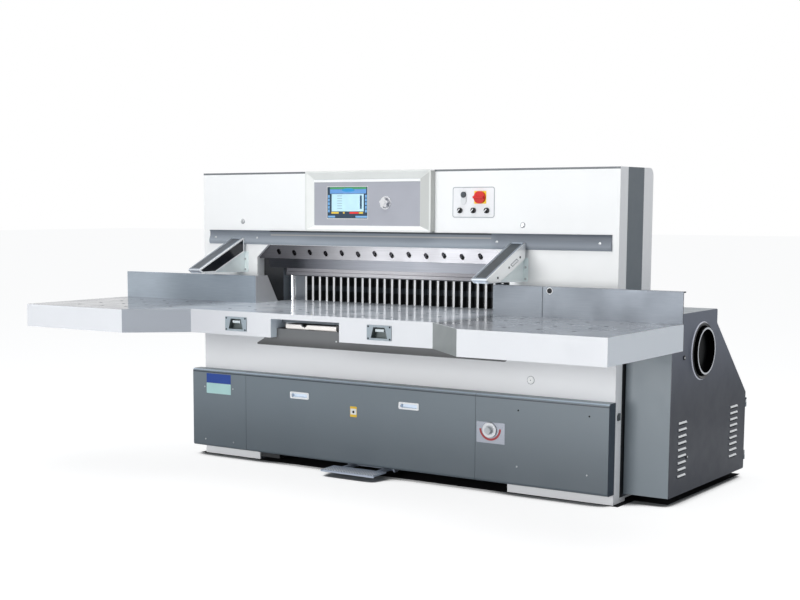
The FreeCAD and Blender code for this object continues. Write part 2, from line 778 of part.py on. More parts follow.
def side_covers():
    """The two side skins: the right one covers the column, the left one the base as well."""
    column = [
        (SKIN + RUN, FOOT_HEIGHT / 2),
        (HEAD_DEPTH, FOOT_HEIGHT / 2),
        (HEAD_DEPTH, HEIGHT),
        (SKIN + RUN, HEIGHT),
    ]
    right = prism_x(column, HALF_WIDTH - SKIN, HALF_WIDTH, [0, 0, 40, 0])
    tall = [
        (SKIN + RUN, FOOT_HEIGHT / 2),
        (BASE_REAR, FOOT_HEIGHT / 2),
        (BASE_REAR, BASE_TOP),
        (HEAD_DEPTH, BASE_TOP),
        (HEAD_DEPTH, HEIGHT),
        (SKIN + RUN, HEIGHT),
    ]
    left = prism_x(tall, -HALF_WIDTH, SKIN - HALF_WIDTH, [0, 0, 20, 20, 40, 0])
    return Part.makeCompound([left, right])


def head_beam():
    """The box beam that ties the two columns together over the knife."""
    outer = [
        (COLUMN_FRONT, OPENING_TOP + 10),
        (HEAD_DEPTH - SKIN, OPENING_TOP + 10),
        (HEAD_DEPTH - SKIN, HEIGHT - SKIN),
        (COLUMN_FRONT, HEIGHT - SKIN),
    ]
    beam = prism_x(outer, -COLUMN_INNER, COLUMN_INNER, [0, 0, 37, 0])
    bays = 4
    step = 2 * COLUMN_INNER / bays
    for i in range(bays):
        x0 = -COLUMN_INNER + i * step + RAIL / 2
        pocket = prism_y(
            rectangle(x0, x0 + step - RAIL, OPENING_TOP + 10 + RAIL, HEIGHT - SKIN - RAIL),
            COLUMN_FRONT + RAIL,
            HEAD_DEPTH + 1,
            30,
        )
        beam = beam.cut(pocket)
    return beam


def head_rear_cover():
    """One bent sheet: the roof, a rounded rear edge and the back, open between the columns."""
    reach = HALF_WIDTH - SKIN - RUN
    roof_z = HEIGHT - SKIN
    back_y = HEAD_DEPTH - SKIN
    low = BASE_TOP + 20
    outer = [(SKIN + RUN, low), (HEAD_DEPTH, low), (HEAD_DEPTH, HEIGHT), (SKIN + RUN, HEIGHT)]
    shell = prism_x(outer, -reach, reach, [0, 0, 40, 0])
    inner = [(0, BASE_TOP), (back_y, BASE_TOP), (back_y, roof_z), (0, roof_z)]
    shell = shell.cut(prism_x(inner, -reach - 1, reach + 1, [0, 0, 37, 0]))
    passage = box(-COLUMN_INNER, COLUMN_INNER, back_y - 1, HEAD_DEPTH + 1, BASE_TOP, OPENING_TOP + 10)
    return shell.cut(passage)


def rear_base_cover():
    """The flat panel that closes the back of the base, with cooling slots and a cable gland."""
    sheet = box(1 - COLUMN_INNER, COLUMN_INNER - 1, BASE_REAR - 20, BASE_REAR - 17, 40, BASE_TOP - RUN)
    for column in (-450.0, 450.0):
        for i in range(6):
            z = 180.0 + 30.0 * i
            sheet = sheet.cut(box(column - 70, column + 70, BASE_REAR - 30, BASE_REAR, z, z + 10))
    flange = box(1 - COLUMN_INNER, COLUMN_INNER - 1, BASE_REAR - 60, BASE_REAR - 17, 40, 43)
    edge = box(COLUMN_INNER - 4, COLUMN_INNER - RUN, BASE_REAR - 60, BASE_REAR - 17, 40, BASE_TOP - RUN)
    gland = rod_y(BASE_REAR - 32, BASE_REAR, GLAND_X, GLAND_Z, GLAND_R + 7)
    panel = fuse([sheet, flange, edge, mirrored(edge), gland])
    return panel.cut(rod_y(BASE_REAR - 33, BASE_REAR + 1, GLAND_X, GLAND_Z, GLAND_R))


def trim_band():
    """The grey channel across the head: a hollow upper lip over a rounded lower roll."""
    start = V(TRIM_LEFT, 0, TRIM_BOTTOM)
    a = V(TRIM_LEFT, 0, TRIM_TOP)
    b = V(TRIM_LEFT, -TRIM_DEPTH, TRIM_TOP)
    c = V(TRIM_LEFT, -TRIM_DEPTH * 0.4, TRIM_TOP - 22)
    d = V(TRIM_LEFT, -TRIM_DEPTH * 0.4, TRIM_TOP - 30)
    e = V(TRIM_LEFT, -TRIM_DEPTH, TRIM_BOTTOM + 28)
    f = V(TRIM_LEFT, -TRIM_DEPTH * 0.6, TRIM_BOTTOM)
    lip = Part.Arc(b, V(TRIM_LEFT, -TRIM_DEPTH * 0.5, TRIM_TOP - 8), c).toShape()
    roll = Part.Arc(e, V(TRIM_LEFT, -TRIM_DEPTH - 1.5, TRIM_BOTTOM + 12), f).toShape()
    edges = [
        Part.LineSegment(start, a).toShape(),
        Part.LineSegment(a, b).toShape(),
        lip,
        Part.LineSegment(c, d).toShape(),
        Part.LineSegment(d, e).toShape(),
        roll,
        Part.LineSegment(f, start).toShape(),
    ]
    return Part.Face(Part.Wire(edges)).extrude(V(TRIM_RIGHT - TRIM_LEFT, 0, 0))


def rectangle_wire(x0, x1, z0, z1, y, radius):
    points = [V(x, y, z) for x, z in rectangle(x0, x1, z0, z1)]
    return rounded_wire(points, [radius] * 4)


def display_bezel():
    """The moulded surround of the display, dished down to its flat panel."""
    top = HEIGHT + 1
    block = prism_y(rectangle(BEZEL_LEFT, BEZEL_RIGHT, BEZEL_BOTTOM, top), -BEZEL_DEPTH, 0, 8)
    rim = 9.0
    floor_y = PANEL_RECESS - BEZEL_DEPTH
    mouth = rectangle_wire(
        BEZEL_LEFT + rim, BEZEL_RIGHT - rim, BEZEL_BOTTOM + rim, top - rim, -BEZEL_DEPTH - 0.1, 6
    )
    floor = rectangle_wire(PANEL_LEFT, PANEL_RIGHT, PANEL_BOTTOM, PANEL_TOP, floor_y, 3)
    dish = Part.makeLoft([mouth, floor], True)
    pocket = box(
        SCREEN_LEFT, SCREEN_RIGHT, floor_y - 0.1, floor_y + SCREEN_THICK, SCREEN_BOTTOM, SCREEN_TOP
    )
    return block.cut(dish).cut(pocket)


def touch_screen():
    floor_y = PANEL_RECESS - BEZEL_DEPTH
    return box(
        SCREEN_LEFT + RUN,
        SCREEN_RIGHT - RUN,
        floor_y + 0.5,
        floor_y + SCREEN_THICK,
        SCREEN_BOTTOM + RUN,
        SCREEN_TOP - RUN,
    )


def control_plate():
    points = rectangle(CONTROL_LEFT, CONTROL_RIGHT, CONTROL_BOTTOM, CONTROL_TOP)
    return prism_y(points, -CONTROL_THICK, 0, 13)


def main_switch():
    """The round rotary switch with a raised grip across it."""
    back = -CONTROL_THICK - RUN
    disc = many_sided(V(SWITCH_X, back, SWITCH_Z), V(0, -13, 0), SWITCH_R, 32)
    half = SWITCH_R - 4
    outline = [
        (back - 12, SWITCH_Z - 7),
        (back - 12, SWITCH_Z + 7),
        (back - 30, SWITCH_Z + 5),
        (back - 30, SWITCH_Z - 5),
    ]
    grip = prism_x(outline, SWITCH_X - half, SWITCH_X + half)
    return disc.fuse(grip).removeSplitter()


def selector(x):
    """A small rotary selector: a knurled skirt with a pointer bar."""
    back = -CONTROL_THICK - RUN
    skirt = many_sided(V(x, back, SELECTOR_Z), V(0, -8, 0), SELECTOR_R, 20)
    bar = box(x - 3.5, x + 3.5, back - 20, back - 7, SELECTOR_Z - SELECTOR_R + 2, SELECTOR_Z + SELECTOR_R - 2)
    return skirt.fuse(bar).removeSplitter()


def jog_knob():
    """The five-lobed jog wheel beside the display."""
    back = PANEL_RECESS - BEZEL_DEPTH - RUN
    corners = []
    for i in range(30):
        angle = 2 * pi * i / 30
        r = JOG_R - 4.5 + 4.5 * cos(5 * (angle - pi / 2))
        corners.append(V(JOG_X + r * cos(angle), back - 8, JOG_Z + r * sin(angle)))
    grip = plate(corners, 0.0, V(0, -14, 0))
    hub = many_sided(V(JOG_X, back, JOG_Z), V(0, -26, 0), 12, 16)
    return grip.fuse(hub).removeSplitter()


def pressure_knob():
    """The clamping pressure knob with its turned grip and flat skirt."""
    back = -BASE_COVER_DEPTH - 2
    centre = V(PRESSURE_X, back, PRESSURE_Z)
    skirt = many_sided(centre, V(0, -6, 0), PRESSURE_R, 32)
    grip = many_sided(centre, V(0, -27, 0), PRESSURE_R - 7, 16)
    return skirt.fuse(grip).removeSplitter()


def base_cover(x0, x1):
    """A folded pan with rounded front edges, open at the back."""
    body = prism_x(
        [
            (-BASE_COVER_DEPTH, BASE_COVER_BOTTOM),
            (-RUN, BASE_COVER_BOTTOM),
            (-RUN, BASE_COVER_TOP),
            (-BASE_COVER_DEPTH, BASE_COVER_TOP),
        ],
        x0,
        x1,
        [COVER_ROUND, 0, 0, COVER_ROUND],
    )
    inner = prism_x(
        [
            (SKIN - BASE_COVER_DEPTH, BASE_COVER_BOTTOM + SKIN),
            (1, BASE_COVER_BOTTOM + SKIN),
            (1, BASE_COVER_TOP - SKIN),
            (SKIN - BASE_COVER_DEPTH, BASE_COVER_TOP - SKIN),
        ],
        x0 + SKIN,
        x1 - SKIN,
        [COVER_ROUND - SKIN, 0, 0, COVER_ROUND - SKIN],
    )
    return body.cut(inner)


def left_base_cover():
    return base_cover(BASE_COVER_LEFT, SEAM_LEFT - GAP / 2)


def right_base_cover():
    """The right cover carries the boss of the clamping pressure knob."""
    pan = base_cover(SEAM_RIGHT + GAP / 2, BASE_COVER_RIGHT)
    boss = rod_y(-BASE_COVER_DEPTH - 2 + RUN, SKIN - BASE_COVER_DEPTH, PRESSURE_X, PRESSURE_Z, PRESSURE_R - 4)
    return pan.fuse(boss).removeSplitter()


def middle_base_cover():
    pan = base_cover(SEAM_LEFT + GAP / 2, SEAM_RIGHT - GAP / 2)
    for x0, x1 in PULLS:
        hole = prism_y(
            rectangle(x0 + 8, x1 - 8, PULL_BOTTOM + 6, PULL_TOP - 6), -BASE_COVER_DEPTH - 1, -60, 8
        )
        pan = pan.cut(hole)
    return pan


def cover_pulls():
    """Two recessed finger pulls: a flat rim outside and a cup behind the sheet."""
    made = []
    front = -BASE_COVER_DEPTH
    for x0, x1 in PULLS:
        rim = prism_y(rectangle(x0, x1, PULL_BOTTOM, PULL_TOP), front - 3, front, 7)
        cup = prism_y(
            rectangle(x0 + 8.3, x1 - 8.3, PULL_BOTTOM + 6.3, PULL_TOP - 6.3), front - 1, front + 22, 7.7
        )
        hollow = prism_y(
            rectangle(x0 + 11, x1 - 11, PULL_BOTTOM + 9, PULL_TOP - 9), front - 4, front + 19, 5
        )
        made.append(rim.fuse(cup).cut(hollow))
    return Part.makeCompound(made)


def under_table_cover():
    """The grey pan under the middle table, behind a long valance that carries on to the right."""
    x0 = TRAY_LEFT
    x1 = TRAY_RIGHT
    low = TRAY_BOTTOM
    top = TRAY_TOP
    strip = low + VALANCE_HEIGHT
    body = prism_y(rectangle(x0, x1, low, top), TRAY_FRONT, TRAY_REAR, [8, 8, 0, 0])
    hollow = rectangle(x0 + SKIN, x1 - SKIN, low + SKIN, top + 1)
    pan = body.cut(prism_y(hollow, TRAY_FRONT + SKIN, TRAY_REAR - SKIN, [5, 5, 0, 0]))
    outline = [
        (VALANCE_LEFT, low),
        (VALANCE_RIGHT, low),
        (VALANCE_RIGHT, strip),
        (x1, strip),
        (x1, top),
        (x0, top),
        (x0, low + 32),
    ]
    valance = prism_y(outline, TRAY_FRONT, TRAY_FRONT + SKIN, [5, 14, 0, 0, 0, 0, 6])
    fold = box(x1 - 1, VALANCE_RIGHT - 14, TRAY_FRONT, TRAY_FRONT + 14, low, low + SKIN)
    runner_top = DRAWER_TOP - DRAWER_HIGH - RUN
    runners = []
    for x in (DRAWER_LEFT + 2, DRAWER_RIGHT - 8):
        runners.append(box(x, x + 6, TRAY_FRONT + 1, TRAY_FRONT + 360, low + 1, runner_top))
    return fuse([pan, valance, fold] + runners)


def tool_drawer():
    """The shallow drawer with a finger notch in its lip; it runs on the tray's two rails."""
    low = DRAWER_TOP - DRAWER_HIGH
    back = DRAWER_FRONT + DRAWER_LENGTH
    body = box(DRAWER_LEFT, DRAWER_RIGHT, DRAWER_FRONT + 8, back, low, DRAWER_TOP)
    body = body.cut(
        box(DRAWER_LEFT + SKIN, DRAWER_RIGHT - SKIN, DRAWER_FRONT + 14, back - SKIN, low + SKIN, HEIGHT)
    )
    edge = rectangle(DRAWER_FRONT, DRAWER_FRONT + 8.5, DRAWER_TOP - 22, DRAWER_TOP)
    lip = prism_x(edge, DRAWER_LEFT, DRAWER_RIGHT, [3, 0, 0, 4])
    notch = rod_y(DRAWER_FRONT - 1, DRAWER_FRONT + 20, DRAWER_NOTCH_X, DRAWER_TOP + 6, 20)
    return body.fuse(lip).cut(notch).removeSplitter()


def guide(edge, end):
    """One side guide: the tall front plate, a back flange along its top and the return by the knife."""
    front = box(edge, end, GUIDE_FACE, GUIDE_FACE + GUIDE_WALL, TABLE_TOP, TABLE_TOP + GUIDE_HEIGHT)
    lip_z = TABLE_TOP + GUIDE_HEIGHT
    flange = box(edge + 20, end, GUIDE_FACE + 3, GUIDE_FACE + 30, lip_z - GUIDE_WALL, lip_z)
    side = [
        (GUIDE_FACE, TABLE_TOP),
        (GUIDE_REAR_LOW, TABLE_TOP),
        (GUIDE_REAR_HIGH, lip_z),
        (GUIDE_FACE, lip_z),
    ]
    cheek = prism_x(side, edge, edge + GUIDE_WALL)
    return fuse([front, flange, cheek])


def left_guide():
    return mirrored(guide(-GUIDE_LEFT, TABLE_HALF))


def right_guide():
    """The right guide is made of two plates, which meet in a narrow joint."""
    seam = box(
        GUIDE_SEAM_X, GUIDE_SEAM_X + GUIDE_SEAM, GUIDE_FACE - 1, GUIDE_FACE + 2, TABLE_TOP - 1, HEIGHT
    )
    return guide(GUIDE_RIGHT, TABLE_HALF).cut(seam)


def arm_outline():
    """A light curtain arm's corners, seen from the side."""
    return [
        (ARM_REAR, ARM_TOP),
        (ARM_REAR, ARM_REAR_LOW),
        (ARM_KNEE_Y, ARM_KNEE_Z),
        (ARM_CHIN_Y, ARM_KNEE_Z),
        (ARM_TIP_Y, ARM_TIP_Z),
    ]


def sunk_panel(start, end, margins, depth, x0, x1):
    """A shallow recess along the straight edge from start to end, seen from the side."""
    far = ((end[0] - start[0]) ** 2 + (end[1] - start[1]) ** 2) ** 0.5
    dy = (end[0] - start[0]) / far
    dz = (end[1] - start[1]) / far
    first = margins[0]
    last = far - margins[1]
    corners = []
    for along, out in ((first, 1), (last, 1), (last, -depth), (first, -depth)):
        corners.append((start[0] + dy * along + dz * out, start[1] + dz * along - dy * out))
    return prism_x(corners, x0, x1)


def arm(x0, x1, window_side):
    """One light curtain arm: rounded edges, sunk panels down its front and a window inside."""
    outline = arm_outline()
    body = prism_x(outline, x0, x1, ARM_CORNERS)
    rims = []
    for edge in body.Edges:
        middle = edge.valueAt((edge.FirstParameter + edge.LastParameter) / 2)
        if min(abs(middle.x - x0), abs(middle.x - x1)) < 0.01:
            rims.append(edge)
    body = body.makeFillet(ARM_ROUND, rims)
    left = x0 + ARM_PANEL_EDGE
    right = x1 - ARM_PANEL_EDGE
    body = body.cut(sunk_panel(outline[0], outline[4], (14, 20), 2.5, left, right))
    body = body.cut(sunk_panel(outline[4], outline[3], (14, 5), 1.5, left, right))
    depth = 3.0
    face = x1 - depth if window_side > 0 else x0 - 1
    points = [V(face, y, z) for y, z in outline]
    rim = rounded_wire(points, ARM_CORNERS).makeOffset2D(-ARM_RIM)
    return body.cut(Part.Face(rim).extrude(V(depth + 1, 0, 0)))


def light_arms():
    return Part.makeCompound([arm(*LEFT_ARM, 1), arm(*RIGHT_ARM, -1)])


def arm_bracket(x0, edge):
    """A folded bracket under an arm: a flange screwed to the cover and two triangular cheeks."""
    lift = (ARM_REAR_LOW - ARM_KNEE_Z) / (ARM_REAR - ARM_KNEE_Y)
    foot_top = ARM_KNEE_Z + (BRACKET_FOOT - ARM_KNEE_Y) * lift
    rear_top = ARM_REAR_LOW - ARM_REAR * lift
    low = ARM_KNEE_Z - 5
    shape = [(BRACKET_FOOT, foot_top - 6), (0, low), (0, rear_top), (BRACKET_FOOT, foot_top)]
    inner = edge - BRACKET_FLANGE - SKIN
    cheeks = [prism_x(shape, x, x + SKIN) for x in (x0 + 8, inner)]
    flange = prism_y(rectangle(x0 + 8, edge, low, rear_top - 1.3), -SKIN, 0, [0, 6, 2, 0])
    return fuse([flange] + cheeks)


def arm_brackets():
    left = arm_bracket(LEFT_ARM[0], BRACKET_EDGES[0])
    right = arm_bracket(RIGHT_ARM[0], BRACKET_EDGES[1])
    return Part.makeCompound([left, right])


def button_housing(x):
    """The cut button's housing: a plate on the apron and a box behind it with a flared recess."""
    plate_front = BAY_FRONT - 4
    flange = prism_y(
        rectangle(
            x - BUTTON_PLATE_HALF,
            x + BUTTON_PLATE_HALF,
            BUTTON_Z - BUTTON_PLATE_HIGH,
            BUTTON_Z + BUTTON_PLATE_HIGH,
        ),
        plate_front,
        BAY_FRONT,
        4,
    )
    half = BUTTON_PLATE_HALF - 9
    high = BUTTON_PLATE_HIGH - 7
    back = box(x - half, x + half, BAY_FRONT - 1, BAY_FRONT + 40, BUTTON_Z - high, BUTTON_Z + high)
    recess = prism_y(
        [
            (x - 46, BUTTON_Z - high + 3),
            (x + 46, BUTTON_Z - high + 3),
            (x + 32, BUTTON_Z + high - 3),
            (x - 32, BUTTON_Z + high - 3),
        ],
        plate_front - 1,
        BAY_FRONT + 32,
        3,
    )
    stem = rod_y(BAY_FRONT + 20, BAY_FRONT + 50, x, BUTTON_Z + 10, 6 + FIT)
    return flange.fuse(back).cut(recess).cut(stem)


def button_housings():
    return Part.makeCompound([button_housing(x) for x in BUTTON_X])


def cut_button(x):
    """A wide palm button on its plunger."""
    face = BAY_FRONT + 2
    cap = prism_x(
        [
            (face, BUTTON_Z + 4),
            (face + 20, BUTTON_Z + 3),
            (face + 20, BUTTON_Z + 18),
            (face, BUTTON_Z + 17),
        ],
        x - 24,
        x + 24,
        [3, 0, 0, 3],
    )
    return cap.fuse(rod_y(face + 19, BAY_FRONT + 40, x, BUTTON_Z + 10, 6)).removeSplitter()


def foot_pedal():
    """The wide clamp treadle: a folded tread on two arms that pivot under the base."""
    folded = [
        (PEDAL_FRONT, PEDAL_Z - 14),
        (PEDAL_FRONT, PEDAL_Z - 4),
        (PEDAL_REAR, PEDAL_Z),
        (PEDAL_REAR, PEDAL_Z - 6),
        (PEDAL_FRONT + 6, PEDAL_Z - 9),
        (PEDAL_FRONT + 6, PEDAL_Z - 14),
    ]
    link = [
        (PEDAL_REAR - 40, PEDAL_Z - 8),
        (PEDAL_REAR, PEDAL_Z - 2),
        (PEDAL_AXIS_Y, PEDAL_AXIS_Z + 9),
        (PEDAL_AXIS_Y, PEDAL_AXIS_Z - 9),
        (PEDAL_REAR - 40, PEDAL_Z - 18),
    ]
    parts = [prism_x(folded, PEDAL_LEFT, PEDAL_RIGHT)]
    for x in (PEDAL_LEFT + 50, PEDAL_RIGHT - 70):
        parts.append(prism_x(link, x, x + 20))
        parts.append(rod_x(x, x + 20, PEDAL_AXIS_Y, PEDAL_AXIS_Z, 14))
    pedal = fuse(parts)
    return pedal.cut(rod_x(PEDAL_LEFT, PEDAL_RIGHT, PEDAL_AXIS_Y, PEDAL_AXIS_Z, 8 + FIT))


def pedal_bracket():
    """The pedal's pivot shaft between two ears, on a post that hangs from the front cover."""
    x0 = PEDAL_LEFT + 20
    x1 = PEDAL_RIGHT - 20
    shaft = rod_x(x0, x1, PEDAL_AXIS_Y, PEDAL_AXIS_Z, 8)
    parts = [shaft]
    for x in (x0, x1 - 10):
        ear = [
            (SKIN, 60),
            (SKIN, 86),
            (PEDAL_AXIS_Y + 18, 86),
            (PEDAL_AXIS_Y + 18, PEDAL_AXIS_Z - 16),
            (PEDAL_AXIS_Y - 18, PEDAL_AXIS_Z - 16),
        ]
        parts.append(prism_x(ear, x, x + 10, [0, 0, 0, 12, 8]))
    parts.append(box(x0, x1, SKIN, SKIN + 6, 60, 86))
    return fuse(parts)


def housing_outline(inset):
    """The drive housing seen from the side."""
    return [
        (HOUSING_FRONT + inset, HOUSING_BOTTOM + inset),
        (HOUSING_REAR - inset, HOUSING_BOTTOM + inset),
        (HOUSING_REAR - inset, HOUSING_BACK_Z - inset * 0.6),
        (HOUSING_STEP_Y - inset, HOUSING_STEP_Z - inset * 0.6),
        (HOUSING_STEP_Y - inset, HOUSING_TOP - inset),
        (HOUSING_FRONT + inset, HOUSING_TOP - inset),
    ]


def fixed_knuckle(z):
    """The case's half of a door hinge: a leaf, a knuckle and the pin that stands up from it."""
    top = z + HINGE_LONG
    leaf = box(HOUSING_OUTER - 30, HOUSING_OUTER - RUN, HOUSING_REAR, HOUSING_REAR + SKIN, z, top)
    barrel = rod_z(z, top, DOOR_X, HINGE_Y, HINGE_R)
    pin = rod_z(top - 1, top + HINGE_LONG, DOOR_X, HINGE_Y, HINGE_PIN_R)
    return [leaf, barrel, pin]


def door_knuckle(z):
    """The door's half of a hinge: a leaf in line with the door and a bored knuckle."""
    low = z + HINGE_LONG + RUN
    top = low + HINGE_LONG
    leaf = box(DOOR_X, DOOR_X + DOOR_THICK, HOUSING_REAR - 1, HINGE_Y, low, top)
    barrel = rod_z(low, top, DOOR_X, HINGE_Y, HINGE_R)
    bore = rod_z(low - 1, top + 1, DOOR_X, HINGE_Y, HINGE_PIN_R + FIT)
    return leaf.fuse(barrel).cut(bore)


def drive_housing():
    """The folded case round the belt drive, open at its outer side, on its spacers."""
    body = prism_x(housing_outline(0), HOUSING_INNER, HOUSING_OUTER)
    inner = prism_x(housing_outline(HOUSING_WALL), HOUSING_INNER + HOUSING_WALL, HOUSING_OUTER + 1)
    body = body.cut(inner)
    body = body.cut(rod_x(HOUSING_INNER - 1, HOUSING_INNER + 10, WHEEL_Y, WHEEL_Z, SHAFT_R + 20))
    body = body.cut(rod_x(HOUSING_INNER - 1, HOUSING_INNER + 10, MOTOR_Y, MOTOR_Z, MOTOR_R + 12))
    spacers = []
    for y in (HOUSING_FRONT + 60, HEAD_DEPTH - 40):
        for z in (HOUSING_BOTTOM + 120, HOUSING_TOP - 120):
            spacers.append(rod_x(HALF_WIDTH, HOUSING_INNER + 1, y, z, 14))
    for z in (HOUSING_BOTTOM + 120, HOUSING_BACK_Z + 70):
        spacers.append(rod_x(HALF_WIDTH - SKIN, HOUSING_INNER + 1, BASE_REAR - 15, z, 14))
    knuckles = fixed_knuckle(HINGES[0]) + fixed_knuckle(HINGES[1])
    return fuse([body] + spacers + knuckles)


def louvre(y0, y1, z):
    """The sloping hood of a pressed louvre."""
    face = DOOR_X + DOOR_THICK
    return prism_y([(face - 1, z), (face + 6, z - 13), (face - 1, z - 15)], y0, y1)


def louvre_slot(y0, y1, z):
    """The slot that goes through the door under a louvre's hood."""
    face = DOOR_X + DOOR_THICK
    slot = [(DOOR_X - 1, z - 4), (face + 1.5, z - 10), (face + 1.5, z - 20), (DOOR_X - 1, z - 20)]
    return prism_y(slot, y0 + 3, y1 - 3)


def housing_door():
    """The large side door with its round port and two columns of louvres."""
    door = prism_x(housing_outline(0), DOOR_X, DOOR_X + DOOR_THICK, [10, 10, 14, 14, 10, 10])
    door = door.cut(rod_x(DOOR_X - 1, DOOR_X + 20, WHEEL_Y, WHEEL_Z, PORT_R - 9))
    heights = [LOUVRE_TOP + 7 - i * LOUVRE_PITCH for i in range(LOUVRE_COUNT)]
    door = fuse([door] + [louvre(y0, y1, z) for y0, y1 in LOUVRE_COLUMNS for z in heights])
    for y0, y1 in LOUVRE_COLUMNS:
        for z in heights:
            door = door.cut(louvre_slot(y0, y1, z))
    for y, z in LATCHES:
        door = door.cut(rod_x(DOOR_X - 1, DOOR_X + 20, y, z, 5 + FIT))
    return fuse([door] + [door_knuckle(z) for z in HINGES])


def port_ring():
    """The rolled ring that edges the port in the door."""
    face = DOOR_X + DOOR_THICK
    profile = [(0, PORT_R - 9), (0, PORT_R + 9), (9, PORT_R), (6, PORT_R - 9)]
    return turned(profile, V(face, WHEEL_Y, WHEEL_Z), V(1, 0, 0))


def latch(y, z):
    """A quarter-turn latch: a slotted head outside and a cam tongue behind the door."""
    face = DOOR_X + DOOR_THICK
    head = rod_x(face + RUN, face + 4, y, z, LATCH_R)
    slot = box(face + 2, face + 6, y - LATCH_R, y + LATCH_R, z - 1.5, z + 1.5)
    stem = rod_x(DOOR_X - 8, face + 1, y, z, 5)
    cam = box(DOOR_X - 8, DOOR_X - 4, y - 6, y + 6, z - 8, z + 22)
    return fuse([head.cut(slot), stem, cam])


def flywheel():
    """The grooved flywheel with the drum that stands out through the port."""
    x0 = BELT_X - 10
    x1 = x0 + BELT_COUNT * BELT_STEP + 16
    drum_end = DOOR_X + DOOR_THICK + DRUM_PROUD
    profile = [
        (HOUSING_INNER - 10 - x0, 0),
        (HOUSING_INNER - 10 - x0, SHAFT_R),
        (0, SHAFT_R),
        (0, WHEEL_R + 6),
        (8, WHEEL_R + 6),
        (8, WHEEL_R),
        (x1 - x0 - 8, WHEEL_R),
        (x1 - x0 - 8, WHEEL_R + 6),
        (x1 - x0, WHEEL_R + 6),
        (x1 - x0, DRUM_R),
        (drum_end - x0, DRUM_R),
        (drum_end - x0, DRUM_R - 9),
        (drum_end - x0 - 30, DRUM_R - 12),
        (drum_end - x0 - 30, 0),
    ]
    return turned(profile, V(x0, WHEEL_Y, WHEEL_Z), V(1, 0, 0))


def motor_pulley():
    x0 = BELT_X - 6
    x1 = BELT_X + BELT_COUNT * BELT_STEP + 4
    length = x1 - x0
    profile = [
        (-8, 0),
        (-8, 26),
        (0, 26),
        (0, PULLEY_R + 5),
        (4, PULLEY_R),
        (length - 4, PULLEY_R),
        (length, PULLEY_R + 5),
        (length, 26),
        (length - 10, 0),
    ]
    return turned(profile, V(x0, MOTOR_Y, MOTOR_Z), V(1, 0, 0))


def belt_face(grow):
    """The flat outline of a belt round the flywheel and the motor pulley."""
    big = WHEEL_R + RUN + grow
    small = PULLEY_R + RUN + grow
    dy = MOTOR_Y - WHEEL_Y
    dz = MOTOR_Z - WHEEL_Z
    far = (dy * dy + dz * dz) ** 0.5
    heading = atan2(dz, dy)
    spread = acos((big - small) / far)

    def on(cy, cz, r, angle):
        return V(BELT_X, cy + r * cos(angle), cz + r * sin(angle))

    a = on(WHEEL_Y, WHEEL_Z, big, heading + spread)
    b = on(WHEEL_Y, WHEEL_Z, big, heading + pi)
    c = on(WHEEL_Y, WHEEL_Z, big, heading - spread)
    d = on(MOTOR_Y, MOTOR_Z, small, heading - spread)
    e = on(MOTOR_Y, MOTOR_Z, small, heading)
    f = on(MOTOR_Y, MOTOR_Z, small, heading + spread)
    edges = [
        Part.Arc(a, b, c).toShape(),
        Part.LineSegment(c, d).toShape(),
        Part.Arc(d, e, f).toShape(),
        Part.LineSegment(f, a).toShape(),
    ]
    return Part.Face(Part.Wire(edges))


def drive_belts():
    outer = belt_face(BELT_THICK).extrude(V(BELT_WIDTH, 0, 0))
    inner = belt_face(0).extrude(V(BELT_WIDTH + 2, 0, 0))
    inner.translate(V(-1, 0, 0))
    belt = outer.cut(inner)
    made = []
    for i in range(BELT_COUNT):
        copy = belt.copy()
        copy.translate(V(i * BELT_STEP, 0, 0))
        made.append(copy)
    return Part.makeCompound(made)


def main_motor():
    """The drive motor on its foot, with cooling fins, a fan cowl and a terminal box."""
    end = BELT_X - 30
    start = end - 280
    foot_z = FLANGE
    profile = [
        (0, 0),
        (0, MOTOR_R - 12),
        (60, MOTOR_R - 4),
        (266, MOTOR_R - 4),
        (280, 50),
        (280, 0),
    ]
    body = turned(profile, V(start, MOTOR_Y, MOTOR_Z), V(1, 0, 0))
    parts = [body]
    for i in range(12):
        fin = box(start + 70, start + 240, -2, 2, MOTOR_R - 10, MOTOR_R + 3)
        fin.rotate(V(0, 0, 0), V(1, 0, 0), 30 * i + 15)
        fin.translate(V(0, MOTOR_Y, MOTOR_Z))
        parts.append(fin)
    parts.append(box(start + 90, start + 220, MOTOR_Y - 90, MOTOR_Y + 90, foot_z, foot_z + 14))
    parts.append(box(start + 100, start + 210, MOTOR_Y - 70, MOTOR_Y - 54, foot_z + 10, MOTOR_Z - 40))
    parts.append(box(start + 100, start + 210, MOTOR_Y + 54, MOTOR_Y + 70, foot_z + 10, MOTOR_Z - 40))
    parts.append(box(start + 110, start + 200, MOTOR_Y - 40, MOTOR_Y + 40, MOTOR_Z + 60, MOTOR_Z + 125))
    parts.append(rod_x(end - 1, BELT_X - 6 - 8 - RUN, MOTOR_Y, MOTOR_Z, 14))
    return fuse(parts)


